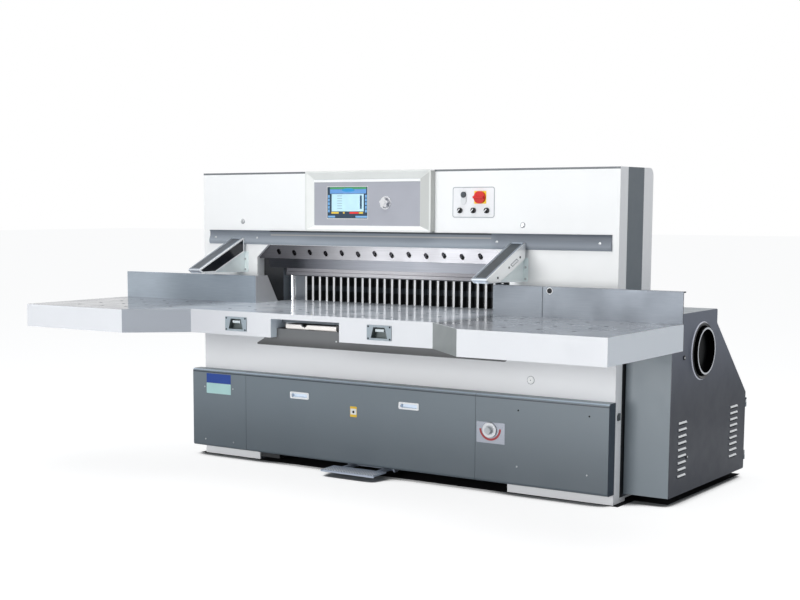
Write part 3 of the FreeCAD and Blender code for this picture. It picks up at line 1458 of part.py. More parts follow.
def worm_gearbox():
    """The worm gearbox with its shaft tunnel, ribs and the slanting sleeve of the pull rod."""
    outer = HALF_WIDTH - SKIN - 6
    left = GEARBOX_LEFT
    right = GEARBOX_RIGHT
    top = BASE_TOP - FLANGE - 60
    side = rectangle(BASE_FRONT + FLANGE, GEARBOX_REAR, SHELF_Z, top)
    case = prism_x(side, left, right, [0, 0, 40, 40])
    tunnel = rod_x(left - 30, HOUSING_INNER - 10, WHEEL_Y, WHEEL_Z, TUNNEL_R)
    neck = box(left + 10, right, WHEEL_Y - TUNNEL_R, WHEEL_Y + TUNNEL_R, WHEEL_Z - 90, WHEEL_Z)
    middle = (left + right) / 2
    cover = rod_y(GEARBOX_REAR - 5, GEARBOX_REAR + 12, middle, SHELF_Z + 130, INSPECTION_R)
    sleeve = slanted_bar(
        ROD_X,
        ROD_Z,
        SLEEVE_TOP,
        SLEEVE_END + SLEEVE_WALL,
        ROD_HALF + SLEEVE_WALL,
        ROD_FRONT - SLEEVE_WALL,
        ROD_BACK + SLEEVE_WALL,
    )
    trim_side = box(outer, outer + 200, 0, 200, 0, HEIGHT)
    sleeve = sleeve.cut(trim_side)
    parts = [case, tunnel, neck, cover, sleeve]
    for y in GEARBOX_RIBS:
        parts.append(box(left - 10, right + 10, y, y + 10, SHELF_Z, top - 40))
    gearbox = fuse(parts)
    channel = slanted_bar(
        ROD_X, ROD_Z, SLEEVE_TOP - 1, SLEEVE_END, ROD_HALF + RUN, ROD_FRONT - RUN, ROD_BACK + RUN
    )
    shaft = rod_x(middle - 15, HOUSING_INNER, WHEEL_Y, WHEEL_Z, SHAFT_R + FIT)
    return gearbox.cut(channel).cut(shaft)


def hydraulic_unit():
    """The hydraulic tank on its feet, with the pump motor, a filler cap and the pipe to the cylinder."""
    tank = prism_z(rectangle(TANK_LEFT, TANK_RIGHT, TANK_FRONT, TANK_REAR), TANK_BOTTOM, TANK_TOP, 12)
    parts = [tank]
    lid = TANK_TOP - 1
    for x in (TANK_LEFT + 30, TANK_RIGHT - 60):
        for y in (TANK_FRONT + 30, TANK_REAR - 60):
            parts.append(box(x, x + 30, y, y + 30, 0, TANK_BOTTOM + 1))
    pump = [(0, 0), (0, 75), (150, 75), (165, 60), (165, 0)]
    parts.append(turned(pump, V(PUMP_X, PUMP_Y, lid), V(0, 0, 1)))
    parts.append(box(PUMP_X - 80, PUMP_X + 80, PUMP_Y - 80, PUMP_Y + 80, lid, lid + 16))
    parts.append(rod_z(lid, lid + 26, TANK_RIGHT - 120, TANK_REAR - 80, 28))
    parts.append(box(-100, 20, PIPE_Y - 50, PIPE_Y + 50, lid, lid + 91))
    parts.append(rod_z(lid + 90, PIPE_Z, 0, PIPE_Y, 9))
    parts.append(box(-13, 13, PIPE_Y - 13, PIPE_Y + 13, PIPE_Z - 13, PIPE_Z + 13))
    parts.append(rod_y(CYLINDER_Y + CYLINDER_R - 4, PIPE_Y - 10, 0, PIPE_Z, 8))
    unit = fuse(parts)
    return unit.cut(rod_z(0, HEIGHT, 0, CYLINDER_Y, CYLINDER_R + RUN))


def clamp_cylinder():
    """The clamp's hydraulic cylinder, hung from the bed by its flange."""
    low = YOKE_TOP + 8
    top = BASE_TOP + 92
    profile = [
        (low, PISTON_ROD_R + FIT),
        (low, CYLINDER_R),
        (BASE_TOP - 14, CYLINDER_R),
        (BASE_TOP - 14, CYLINDER_R + 22),
        (BASE_TOP, CYLINDER_R + 22),
        (BASE_TOP, CYLINDER_R),
        (top, CYLINDER_R),
        (top, 0),
        (top - 10, 0),
        (top - 10, CYLINDER_BORE),
        (low + 14, CYLINDER_BORE),
        (low + 14, PISTON_ROD_R + FIT),
    ]
    return turned(profile, V(0, CYLINDER_Y, 0), V(0, 0, 1))


def clamp_rods():
    """The clamp's two pull rods, the yoke that joins them and the piston rod."""
    rods = []
    for x in (-CLAMP_ROD_X, CLAMP_ROD_X):
        rods.append(rod_z(YOKE_TOP - YOKE_HEIGHT, CLAMP_EDGE + 6, x, CLAMP_ROD_Y, CLAMP_ROD_R))
    yoke_side = [
        (-CLAMP_ROD_X - 30, YOKE_TOP - 40),
        (-200, YOKE_TOP - YOKE_HEIGHT),
        (200, YOKE_TOP - YOKE_HEIGHT),
        (CLAMP_ROD_X + 30, YOKE_TOP - 40),
        (CLAMP_ROD_X + 30, YOKE_TOP),
        (-CLAMP_ROD_X - 30, YOKE_TOP),
    ]
    yoke = prism_y(yoke_side, CYLINDER_Y - 22, CLAMP_ROD_Y + 22, [8, 0, 0, 8, 8, 8])
    top = BASE_TOP + 76
    profile = [
        (YOKE_TOP - 5, 0),
        (YOKE_TOP - 5, PISTON_ROD_R),
        (top - 22, PISTON_ROD_R),
        (top - 22, CYLINDER_BORE - FIT),
        (top, CYLINDER_BORE - FIT),
        (top, 0),
    ]
    piston = turned(profile, V(0, CYLINDER_Y, 0), V(0, 0, 1))
    return fuse([yoke, piston] + rods)


def clamp_beam():
    """The clamp: a ribbed beam with a polished face and a rounded pressing edge."""
    back = CLAMP_FRONT + CLAMP_THICK
    top = CLAMP_EDGE + CLAMP_HEIGHT
    low = CLAMP_EDGE
    outline = [
        (CLAMP_FRONT, low + 23),
        (CLAMP_FRONT - 2.8, low + 21),
        (CLAMP_FRONT - 2.8, low + 4),
        (CLAMP_FRONT + 1, low),
        (back, low),
        (back, low + 60),
        (back - 20, low + 90),
        (back - 20, top),
        (CLAMP_FRONT, top),
    ]
    beam = prism_x(outline, -CLAMP_HALF, CLAMP_HALF, [0, 1, 3, 3, 2, 0, 0, 2, 2])
    for x in (-CLAMP_ROD_X, CLAMP_ROD_X):
        beam = beam.cut(rod_z(low - 1, low + 6, x, CLAMP_ROD_Y, CLAMP_ROD_R))
    return beam


def slot_cutter(x, z, half_long, half_wide, y0, y1):
    """A slanting oblong hole that runs along the knife's path."""
    angle = radians(KNIFE_ANGLE)
    ends = []
    for side in (-1, 1):
        cx = x + side * half_long * cos(angle)
        cz = z - side * half_long * sin(angle)
        ends.append(rod_y(y0, y1, cx, cz, half_wide))
    return fuse(ends + [slanted_bar(x, z, -half_long, half_long, half_wide, y0, y1)])


def bolt_places():
    middle = (BOLT_COUNT - 1) / 2
    places = []
    for i in range(BOLT_COUNT):
        rise = -BOLT_STAGGER if i % 2 else BOLT_STAGGER
        places.append((BOLT_SHIFT + (i - middle) * BOLT_PITCH, BOLT_Z + rise))
    return places


def knife_beam():
    """The knife carrier: a thick plate with slanting oblong holes and a heavier top."""
    outline = [
        (KNIFE_FRONT, BEAM_BOTTOM),
        (BLADE_FRONT, BEAM_BOTTOM),
        (BLADE_FRONT, BLADE_EDGE + BLADE_HEIGHT + RUN),
        (BLADE_BACK, BLADE_EDGE + BLADE_HEIGHT + RUN),
        (BLADE_BACK, BEAM_TOP),
        (KNIFE_FRONT, BEAM_TOP),
    ]
    beam = prism_x(outline, BEAM_LEFT, BEAM_RIGHT, [2, 0, 0, 0, 4, 4])
    for x, z in bolt_places():
        beam = beam.cut(
            slot_cutter(x, z, SLOT_LONG - SLOT_HALF, SLOT_HALF, KNIFE_FRONT - 1, BLADE_FRONT + 1)
        )
    return beam


def knife_blade():
    """The blade: ground steel with a single bevel, its edge at the back."""
    top = BLADE_EDGE + BLADE_HEIGHT
    outline = [
        (BLADE_BACK, BLADE_EDGE),
        (BLADE_BACK, top),
        (BLADE_FRONT, top),
        (BLADE_FRONT, BLADE_EDGE + BLADE_BEVEL),
    ]
    return prism_x(outline, BLADE_LEFT, BLADE_RIGHT)


def knife_bolts():
    """The hexagon heads of the blade's bolts, sunk in the carrier's oblong holes."""
    made = []
    for x, z in bolt_places():
        made.append(many_sided(V(x, BLADE_FRONT, z), V(0, -BOLT_HEAD, 0), BOLT_HEAD_R, 6))
    return Part.makeCompound(made)


def pull_rod():
    """The flat rod that draws the knife down its slanting path, butted to the carrier's end."""
    rod = slanted_bar(ROD_X, ROD_Z, -80, ROD_REACH, ROD_HALF, ROD_FRONT, ROD_BACK)
    return rod.cut(box(ROD_X - 300, ROD_X, 0, 200, 0, HEIGHT + 200))


def back_gauge():
    """The comb-shaped back gauge: ribs on a plate, a foot on the table and gussets behind."""
    low = TABLE_TOP + RUN
    top = low + COMB_HEIGHT
    plate_front = COMB_FRONT + COMB_DEPTH
    plate_back = plate_front + COMB_PLATE
    half = COMB_PITCH * (COMB_RIBS - 1) / 2 + COMB_RIB / 2 + 4
    wall = box(-half, half, plate_front, plate_back, low, top)
    foot = box(-half, half, plate_front, plate_back + GAUGE_FOOT, low, low + 14)
    parts = [wall, foot]
    for i in range(COMB_RIBS):
        x = (i - (COMB_RIBS - 1) / 2) * COMB_PITCH
        parts.append(box(x - COMB_RIB / 2, x + COMB_RIB / 2, COMB_FRONT, plate_front + 1, low, top))
    for i in GUSSET_RIBS:
        x = (i - (COMB_RIBS - 1) / 2) * COMB_PITCH
        gusset = [(plate_back - 1, low), (plate_back + GAUGE_FOOT - 12, low), (plate_back - 1, top - 20)]
        parts.append(prism_x(gusset, x - COMB_RIB / 2, x + COMB_RIB / 2))
    return fuse(parts)


def gauge_carriage():
    """The nut block under the table, with the neck that carries the back gauge through the slot."""
    low = BASE_TOP + 5
    top = TABLE_TOP - PLATE - 2
    half = CHANNEL_HALF - RUN
    block = prism_y(rectangle(-half, half, low, top), NUT_FRONT, NUT_FRONT + NUT_LENGTH, 6)
    neck = box(
        RUN - SLOT_TABLE_HALF,
        SLOT_TABLE_HALF - RUN,
        COMB_FRONT + COMB_DEPTH + 8,
        NUT_FRONT + NUT_LENGTH - 8,
        top - 1,
        TABLE_TOP + RUN,
    )
    bore = rod_y(NUT_FRONT - 1, NUT_FRONT + NUT_LENGTH + 1, 0, SCREW_Z, SCREW_R + FIT)
    return block.fuse(neck).cut(bore)


def lead_screw():
    """The lead screw with its journals and the coupling end by the motor."""
    front = COLUMN_FRONT - 2 + RUN
    profile = [
        (COLUMN_FRONT - 11, 0),
        (COLUMN_FRONT - 11, SCREW_JOURNAL_R),
        (front, SCREW_JOURNAL_R),
        (front, SCREW_R),
        (SCREW_REAR - RUN, SCREW_R),
        (SCREW_REAR - RUN, SCREW_JOURNAL_R),
        (SCREW_REAR + FLANGE + 12, SCREW_JOURNAL_R),
        (SCREW_REAR + FLANGE + 12, 0),
    ]
    return turned(profile, V(0, 0, SCREW_Z), V(0, 1, 0))


def gauge_motor():
    """The gauge's servo motor behind the screw's rear bearing."""
    start = SCREW_REAR + FLANGE
    flange = box(-44, 44, start, start + 10, SCREW_Z - 44, SCREW_Z + 44)
    can = prism_y(rectangle(-40, 40, SCREW_Z - 40, SCREW_Z + 40), start + 9, start + 100, 12)
    cutter = rod_y(start - 1, start + 13, 0, SCREW_Z, SCREW_JOURNAL_R + FIT)
    return flange.fuse(can).cut(cutter)


PIECES = {
    "left_side_frame": left_side_frame,
    "right_side_frame": right_side_frame,
    "table_bed": table_bed,
    "head_beam": head_beam,
    "front_table_top": front_table_top,
    "rear_table_top": rear_table_top,
    "cutting_stick": cutting_stick,
    "table_fascia": table_fascia,
    "upper_front_cover": upper_front_cover,
    "lower_front_cover": lower_front_cover,
    "side_covers": side_covers,
    "head_rear_cover": head_rear_cover,
    "rear_base_cover": rear_base_cover,
    "trim_band": trim_band,
    "display_bezel": display_bezel,
    "touch_screen": touch_screen,
    "control_plate": control_plate,
    "left_base_cover": left_base_cover,
    "right_base_cover": right_base_cover,
    "under_table_cover": under_table_cover,
    "left_guide": left_guide,
    "right_guide": right_guide,
    "light_arms": light_arms,
    "arm_brackets": arm_brackets,
    "button_housings": button_housings,
    "drive_housing": drive_housing,
    "main_motor": main_motor,
    "drive_belts": drive_belts,
    "worm_gearbox": worm_gearbox,
    "hydraulic_unit": hydraulic_unit,
    "clamp_cylinder": clamp_cylinder,
    "gauge_motor": gauge_motor,
    "pedal_bracket": pedal_bracket,
    "knife_beam": knife_beam,
    "knife_blade": knife_blade,
    "knife_bolts": knife_bolts,
    "pull_rod": pull_rod,
    "clamp_beam": clamp_beam,
    "clamp_rods": clamp_rods,
    "back_gauge": back_gauge,
    "gauge_carriage": gauge_carriage,
    "lead_screw": lead_screw,
    "flywheel": flywheel,
    "motor_pulley": motor_pulley,
    "housing_door": housing_door,
    "port_ring": port_ring,
    "upper_latch": lambda: latch(*LATCHES[0]),
    "lower_latch": lambda: latch(*LATCHES[1]),
    "middle_base_cover": middle_base_cover,
    "cover_pulls": cover_pulls,
    "tool_drawer": tool_drawer,
    "left_cut_button": lambda: cut_button(BUTTON_X[0]),
    "right_cut_button": lambda: cut_button(BUTTON_X[1]),
    "main_switch": main_switch,
    "selector_left": lambda: selector(SELECTOR_X[0]),
    "selector_middle": lambda: selector(SELECTOR_X[1]),
    "selector_right": lambda: selector(SELECTOR_X[2]),
    "jog_knob": jog_knob,
    "pressure_knob": pressure_knob,
    "foot_pedal": foot_pedal,
}

os.makedirs("parts", exist_ok=True)
for name, make in PIECES.items():
    shape = make()
    shape.translate(V(0, -ORIGIN_Y, 0))
    shape.exportStep("parts/" + name + ".step")
    solids = shape.Solids
    print(name, len(solids), round(sum(s.Volume for s in solids) / 1000), shape.isValid())
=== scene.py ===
# %% [markdown]
# An industrial paper cutter, dressed for its picture
#
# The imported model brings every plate, casting and mechanism of the cutter in its right place. What is
# left for this lesson is what a paint shop and a fitter would add: powder coats, ground and polished
# steel, moulded plastic, the display picture, screws, air valves, plates and plugs. Each step first says
# what the thing is on the real machine and how it could be made, then makes it.

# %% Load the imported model
import math
import bmesh
import bpy
from mathutils import Euler, Matrix, Vector


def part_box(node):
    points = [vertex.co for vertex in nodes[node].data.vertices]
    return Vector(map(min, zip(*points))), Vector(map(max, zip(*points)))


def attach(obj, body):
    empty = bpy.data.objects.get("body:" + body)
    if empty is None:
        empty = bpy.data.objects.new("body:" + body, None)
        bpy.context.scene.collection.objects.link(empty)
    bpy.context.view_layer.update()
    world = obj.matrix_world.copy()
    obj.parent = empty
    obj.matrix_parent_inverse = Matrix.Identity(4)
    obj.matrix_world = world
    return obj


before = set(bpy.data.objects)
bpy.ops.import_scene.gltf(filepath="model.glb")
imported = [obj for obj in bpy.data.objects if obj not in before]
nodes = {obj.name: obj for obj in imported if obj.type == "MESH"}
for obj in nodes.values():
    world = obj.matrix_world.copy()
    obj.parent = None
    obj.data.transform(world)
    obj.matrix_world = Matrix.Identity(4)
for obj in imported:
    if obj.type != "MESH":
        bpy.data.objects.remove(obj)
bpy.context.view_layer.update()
scene = bpy.context.scene

# %% [markdown]
# Measures in the machine's own numbers
#
# The drawings of the machine count its depth from the face of the white front covers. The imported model
# counts from the middle of the footprint instead, so one helper turns a drawing's millimetres into the
# metres of this scene. Every later place is written in the drawing's numbers and passes through it.

# %% From drawing millimetres to scene metres
COVER_FACE = 320.5


def depth(y):
    """A drawing depth in millimetres as this scene's Y in metres."""
    return (y - COVER_FACE) / 1000


def at(x, y, z):
    """A drawing point in millimetres as a scene point in metres."""
    return Vector((x / 1000, depth(y), z / 1000))


def on_front(y):
    """Plates that face the operator: across is X, up is Z, and thickness grows towards the operator."""
    return Matrix(((1, 0, 0, 0), (0, 0, -1, depth(y)), (0, 1, 0, 0), (0, 0, 0, 1)))


def on_right(x):
    """Plates that face +X: across is Y, up is Z, and thickness grows outwards."""
    return Matrix(((0, 0, 1, x / 1000), (1, 0, 0, depth(0)), (0, 1, 0, 0), (0, 0, 0, 1)))


def on_left(x):
    """Plates that face -X: across runs against Y, up is Z, and thickness grows outwards."""
    return Matrix(((0, 0, -1, x / 1000), (-1, 0, 0, depth(0)), (0, 1, 0, 0), (0, 0, 0, 1)))


print("cover face at", round(depth(0), 4))

# %% [markdown]
# The camera
#
# The eye stands in front of the machine's right half, a little above the table, and looks slightly down,
# so the verticals converge only a little. Its place and lens were worked out from the lines of the
# machine in the photograph. The picture was cropped off its optical centre, and a lens shift follows that.

# %% Place the camera
EYE = (4075, -6171, 1421)
LOOKS_DOWN = 6.72
TURNED_LEFT = 35.82
camera_data = bpy.data.cameras.new("studio_camera")
camera_data.lens = 63.84
camera_data.sensor_width = 36.0
camera_data.shift_x = 0.0855
camera_data.shift_y = 0.091
camera_data.clip_end = 200.0
camera = bpy.data.objects.new("studio_camera", camera_data)
camera.location = at(*EYE)
camera.rotation_euler = (math.radians(90 - LOOKS_DOWN), 0, math.radians(TURNED_LEFT))
scene.collection.objects.link(camera)
scene.camera = camera
print("camera at", [round(v, 3) for v in camera.location])

# %% [markdown]
# Joining nodes
#
# Light, floor and paint are all built from small node trees. A few helpers keep them readable: one feeds
# a socket from a plain value or from another node, and the others make a sum, a blend of two colours and
# a mix of two shaders.

# %% Sums, blends and mixes


def fed(tree, socket, value):
    """Set a socket to a plain value, or link it where the value is another node's socket."""
    if isinstance(value, bpy.types.NodeSocket):
        tree.links.new(value, socket)
    else:
        socket.default_value = value


def worked(tree, operation, *values):
    """A Math node with its inputs in order; gives its output."""
    node = tree.nodes.new("ShaderNodeMath")
    node.operation = operation
    for socket, value in zip(node.inputs, values):
        fed(tree, socket, value)
    return node.outputs[0]


def blended(tree, factor, first, second, way="MIX"):
    """A blend of two colours, each a plain colour or a socket."""
    node = tree.nodes.new("ShaderNodeMix")
    node.data_type = "RGBA"
    node.blend_type = way
    for label, value in (("Factor", factor), ("A", first), ("B", second)):
        fed(tree, node.inputs[label], value)
    return node.outputs["Result"]


def mixed(tree, factor, first, second):
    """Two shaders mixed by a factor."""
    node = tree.nodes.new("ShaderNodeMixShader")
    for socket, value in zip(node.inputs, (factor, first, second)):
        tree.links.new(value, socket)
    return node.outputs[0]


print("node helpers ready")

# %% [markdown]
# The white tent
#
# A white tent lights such a machine from all round. The world is white to the camera and to mirrors, and
# weaker as a light, so that the picture's background stays white while the machine isn't washed out.

# %% Wrap the machine in the tent
TENT_COLOUR = (0.94, 0.97, 1.0, 1.0)
TENT_POWER = 0.42
scene.view_settings.view_transform = "Standard"
world = bpy.data.worlds.new("white_tent")
world.use_nodes = True
scene.world = world
tree = world.node_tree
tree.nodes.clear()
rays = tree.nodes.new("ShaderNodeLightPath").outputs
straight = worked(tree, "MAXIMUM", rays["Is Camera Ray"], rays["Is Transmission Ray"])
looking = worked(tree, "MAXIMUM", straight, rays["Is Glossy Ray"])
glows = []
for colour, power in ((TENT_COLOUR, TENT_POWER), ((1.0, 1.0, 1.0, 1.0), 1.0)):
    glow = tree.nodes.new("ShaderNodeBackground")
    glow.inputs["Color"].default_value = colour
    glow.inputs["Strength"].default_value = power
    glows.append(glow.outputs[0])
world_out = tree.nodes.new("ShaderNodeOutputWorld")
tree.links.new(mixed(tree, looking, *glows), world_out.inputs["Surface"])
print("tent power", TENT_POWER)

# %% [markdown]
# Soft boxes
#
# Soft boxes give the faces their different greys. The strongest stands low before the front, so that
# light gets in under the tables and only the strip right below them stays grey. The right side gets less,
# as its panels are darker in the photograph, and a large one over the head lights the tables.

# %% Hang the soft boxes


def soft_box(name, place, target, size, power):
    """A large square lamp at a place, turned towards a target."""
    data = bpy.data.lights.new(name, "AREA")
    data.shape = "SQUARE"
    data.size = size
    data.energy = power
    lamp = bpy.data.objects.new(name, data)
    lamp.location = place
    lamp.rotation_euler = (Vector(target) - Vector(place)).to_track_quat("-Z", "Y").to_euler()
    scene.collection.objects.link(lamp)
    return lamp


lamps = [
    soft_box("front_box", (-1.0, -9.0, 1.1), (0, 0, 0.6), 3.0, 415),
    soft_box("side_box", (8.0, 0.5, 1.6), (0, 0, 0.8), 3.0, 34),
    soft_box("top_box", (0.5, -1.0, 6.5), (0, -0.2, 0.9), 5.0, 170),
]
print("lamps", [lamp.name for lamp in lamps])

# %% [markdown]
# The floor
#
# The machine stands on a white sweep that keeps only a soft shadow round it. No light gets under the low
# covers, so painted shade, a dark patch of the floor, lies below the base and the drive case. A mask that
# is 1 on this patch paints both colours on one surface, so that no second sheet has to lie on the floor.

# %% Sweep and painted shade patch
SWEEP_WHITE = (0.8, 0.81, 0.82, 1)
SHADE_PATCH_BLACK = (0.08, 0.08, 0.085, 1)
UNDER_BASE = (-20, 1170, -1302, 1309)
UNDER_CASE = (170, 1150, 1300, 1480)
floor_material = bpy.data.materials.new("white_sweep")
floor_material.use_nodes = True
tree = floor_material.node_tree
tree.nodes.clear()
axes = tree.nodes.new("ShaderNodeSeparateXYZ")
tree.links.new(tree.nodes.new("ShaderNodeTexCoord").outputs["Object"], axes.inputs[0])
covered = 0.0
for front, rear, left, right in (UNDER_BASE, UNDER_CASE):
    inside = 1.0
    for axis, low, high in (("X", left / 1000, right / 1000), ("Y", depth(front), depth(rear))):
        within = worked(tree, "COMPARE", axes.outputs[axis], (low + high) / 2, (high - low) / 2)
        inside = worked(tree, "MULTIPLY", inside, within)
    covered = worked(tree, "MAXIMUM", covered, inside)
matt = tree.nodes.new("ShaderNodeBsdfDiffuse")
# Painted shade: the floor is dark where the mask lies under the base and the drive case.
tree.links.new(blended(tree, covered, SWEEP_WHITE, SHADE_PATCH_BLACK), matt.inputs["Color"])
print("shade patch reaches", UNDER_BASE, UNDER_CASE)

# %% [markdown]
# The sweep's glow
#
# A plain diffuse floor would turn grey towards the horizon, so part of its shade is a white glow for the
# camera, and the rest is an ordinary surface that takes the shadow. The glow fades where something stands
# close over the floor, and the painted shade patch has none.

# %% Let the sweep glow
FLOOR_GLOW = 0.62
GLOW_POWER = 1.35
SHADOW_REACH = 0.16
near = tree.nodes.new("ShaderNodeAmbientOcclusion")
near.inputs["Distance"].default_value = SHADOW_REACH
open_sky = tree.nodes.new("ShaderNodeMapRange")
open_sky.inputs["From Min"].default_value = 0.42
open_sky.inputs["From Max"].default_value = 0.62
tree.links.new(near.outputs["AO"], open_sky.inputs["Value"])
lit_part = worked(tree, "MULTIPLY", open_sky.outputs["Result"], worked(tree, "SUBTRACT", 1.0, covered))
white = tree.nodes.new("ShaderNodeEmission")
tree.links.new(worked(tree, "MULTIPLY", lit_part, GLOW_POWER), white.inputs["Strength"])
seen = tree.nodes.new("ShaderNodeLightPath").outputs["Is Camera Ray"]
share = worked(tree, "MULTIPLY", seen, FLOOR_GLOW)
floor_out = tree.nodes.new("ShaderNodeOutputMaterial")
tree.links.new(mixed(tree, share, matt.outputs[0], white.outputs[0]), floor_out.inputs["Surface"])
print("floor nodes", len(tree.nodes))

# %% [markdown]
# Laying the sweep
#
# One large square is enough, as its rim lies sixty metres off. It is part of the stage and not of the
# machine.

# %% Lay the floor
SWEEP_HALF = 60
floor_mesh = bpy.data.meshes.new("floor")
corners = [(x * SWEEP_HALF, y * SWEEP_HALF, 0) for x, y in ((-1, -1), (1, -1), (1, 1), (-1, 1))]
floor_mesh.from_pydata(corners, [], [(0, 1, 2, 3)])
floor_mesh.materials.append(floor_material)
floor = bpy.data.objects.new("floor", floor_mesh)
scene.collection.objects.link(floor)
print("floor laid")

# %% [markdown]
# Shared surface effects
#
# Paint, grain and handling marks turn up on many parts in different strengths. Each is a small node
# group with named inputs, so that a finish is written once and tuned per part. The groups only give out
# masks and heights; the shader itself stays in each material.

# %% Helpers for effect groups


def effect_group(name, inputs, outputs):
    """An empty shader group with the named sockets, plus its two end nodes."""
    group = bpy.data.node_groups.new(name, "ShaderNodeTree")
    for label, kind, value in inputs:
        socket = group.interface.new_socket(name=label, in_out="INPUT", socket_type=kind)
        socket.default_value = value
    for label in outputs:
        group.interface.new_socket(name=label, in_out="OUTPUT", socket_type="NodeSocketFloat")
    return group, group.nodes.new("NodeGroupInput"), group.nodes.new("NodeGroupOutput")


def noise_in(group, source, detail, stretch=None):
    """A noise texture on object coordinates, stretched where an input's vector says so."""
    noise = group.nodes.new("ShaderNodeTexNoise")
    noise.inputs["Detail"].default_value = detail
    vector = group.nodes.new("ShaderNodeTexCoord").outputs["Object"]
    if stretch:
        scaled = group.nodes.new("ShaderNodeVectorMath")
        scaled.operation = "MULTIPLY"
        group.links.new(vector, scaled.inputs[0])
        group.links.new(source.outputs[stretch], scaled.inputs[1])
        vector = scaled.outputs[0]
    group.links.new(vector, noise.inputs["Vector"])
    group.links.new(source.outputs["Scale"], noise.inputs["Scale"])
    return noise.outputs["Fac"]


def ranged(group, value, source):
    """Map the middle of a noise onto the range between the group's Low and High."""
    spread = group.nodes.new("ShaderNodeMapRange")
    group.links.new(value, spread.inputs["Value"])
    spread.inputs["From Min"].default_value = 0.3
    spread.inputs["From Max"].default_value = 0.7
    group.links.new(source.outputs["Low"], spread.inputs["To Min"])
    group.links.new(source.outputs["High"], spread.inputs["To Max"])
    return spread.outputs["Result"]


print("group helpers ready")

# %% [markdown]
# Peel, tone and grain
#
# Powder paint has a fine orange peel, every surface changes tone slowly across its width, and ground
# metal has lines drawn out along one direction. A noise makes all three: fine for the peel, coarse for
# the tone, and stretched along one axis for the grain.

# %% Build the effect groups
LIMITS = [("Low", "NodeSocketFloat", 0.0), ("High", "NodeSocketFloat", 1.0)]
peel, source, sink = effect_group("powder_coat_peel", [("Scale", "NodeSocketFloat", 900.0)], ["Height"])
peel.links.new(noise_in(peel, source, 2.0), sink.inputs["Height"])
shading, source, sink = effect_group("uneven_tone", [("Scale", "NodeSocketFloat", 2.0)] + LIMITS, ["Value"])
shading.links.new(ranged(shading, noise_in(shading, source, 4.0), source), sink.inputs["Value"])
grain_inputs = [("Stretch", "NodeSocketVector", (1.0, 1.0, 60.0)), ("Scale", "NodeSocketFloat", 8.0)]
grain, source, sink = effect_group("brushed_grain", grain_inputs + LIMITS, ["Value", "Height"])
streak = noise_in(grain, source, 3.0, "Stretch")
grain.links.new(ranged(grain, streak, source), sink.inputs["Value"])
grain.links.new(streak, sink.inputs["Height"])
print("groups", [group.name for group in bpy.data.node_groups])

# %% [markdown]
# Colours
#
# Colours are written as they look on a screen and turned to linear light once. A dimmed twin of a colour
# serves for the dark end of its tones.

# %% Colours in linear light


def linear(red, green, blue):
    """Screen colour from 0 to 255 as linear light."""
    out = []
    for value in (red, green, blue):
        value /= 255
        out.append(value / 12.92 if value <= 0.04045 else ((value + 0.055) / 1.055) ** 2.4)
    return tuple(out) + (1.0,)


def dimmed(colour, share):
    """The same colour with less light in it."""
    return tuple(channel * share for channel in colour[:3]) + (1.0,)


print("white is", linear(255, 255, 255))

# %% [markdown]
# Blank materials
#
# Every finish starts from one Principled shader, gets its effect groups placed in it, runs its colour
# between two tones, and feeds a height to the shader's normal.

# %% Helpers for finishes


def fresh(name, rough, metallic=0.0):
    """A new material with one Principled shader, ready for its texture nodes."""
    material = bpy.data.materials.new(name)
    material.use_nodes = True
    shader = material.node_tree.nodes["Principled BSDF"]
    shader.inputs["Roughness"].default_value = rough
    shader.inputs["Metallic"].default_value = metallic
    return material, material.node_tree, shader


def placed_group(tree, group, **values):
    """Put an effect group in a material with its own values; gives its outputs."""
    node = tree.nodes.new("ShaderNodeGroup")
    node.node_tree = group
    for label, value in values.items():
        node.inputs[label].default_value = value
    return node.outputs


def toned(tree, shader, factor, colour, share):
    """Colour a shader between a dimmed colour and the full one."""
    tones = blended(tree, factor, dimmed(colour, share), colour)
    tree.links.new(tones, shader.inputs["Base Color"])
    return tones


def bumped(tree, shader, height, distance, strength):
    """Feed a height into the shader's normal."""
    bump = tree.nodes.new("ShaderNodeBump")
    bump.inputs["Distance"].default_value = distance
    bump.inputs["Strength"].default_value = strength
    tree.links.new(height, bump.inputs["Height"])
    tree.links.new(bump.outputs["Normal"], shader.inputs["Normal"])


print("finish helpers ready")

# %% [markdown]
# Three finishes
#
# Most of the machine wears one of three finishes: a powder coat, a brushed metal or a moulded plastic.
# A builder for each takes the colour and the numbers that differ.

# %% Powder coat, brushed metal and moulded plastic


def powder_coat(name, colour, rough=0.42, uneven=0.94, peel_size=700.0, peel_depth=0.00006):
    """Baked powder paint: a faint orange peel and a slow change of tone."""
    material, tree, shader = fresh(name, rough)
    toned(tree, shader, placed_group(tree, shading, Scale=1.7)["Value"], colour, uneven)
    skin = placed_group(tree, shading, Scale=9.0, Low=rough - 0.05, High=rough + 0.07)
    tree.links.new(skin["Value"], shader.inputs["Roughness"])
    bumped(tree, shader, placed_group(tree, peel, Scale=peel_size)["Height"], peel_depth, 0.5)
    return material


def brushed(name, colour, rough, stretch, scale, contrast, line_depth=0.00003, metal=1.0):
    """Bare metal with its grain drawn out along one direction."""
    material, tree, shader = fresh(name, rough, metal)
    lines = placed_group(tree, grain, Stretch=stretch, Scale=scale)
    toned(tree, shader, lines["Value"], colour, contrast)
    marks = placed_group(tree, shading, Scale=5.0, Low=rough - 0.04, High=rough + 0.08)
    tree.links.new(marks["Value"], shader.inputs["Roughness"])
    bumped(tree, shader, lines["Height"], line_depth, 0.6)
    return material


def moulded(name, colour, rough=0.45):
    """Injection-moulded plastic with a fine spark texture."""
    material, tree, shader = fresh(name, rough)
    toned(tree, shader, placed_group(tree, shading, Scale=6.0)["Value"], colour, 0.93)
    bumped(tree, shader, placed_group(tree, peel, Scale=1400.0)["Height"], 0.00004, 0.5)
    return material


def dulled(material, level):
    """Let a finish mirror less of what stands round it."""
    material.node_tree.nodes["Principled BSDF"].inputs["Specular IOR Level"].default_value = level


print("finish builders ready")
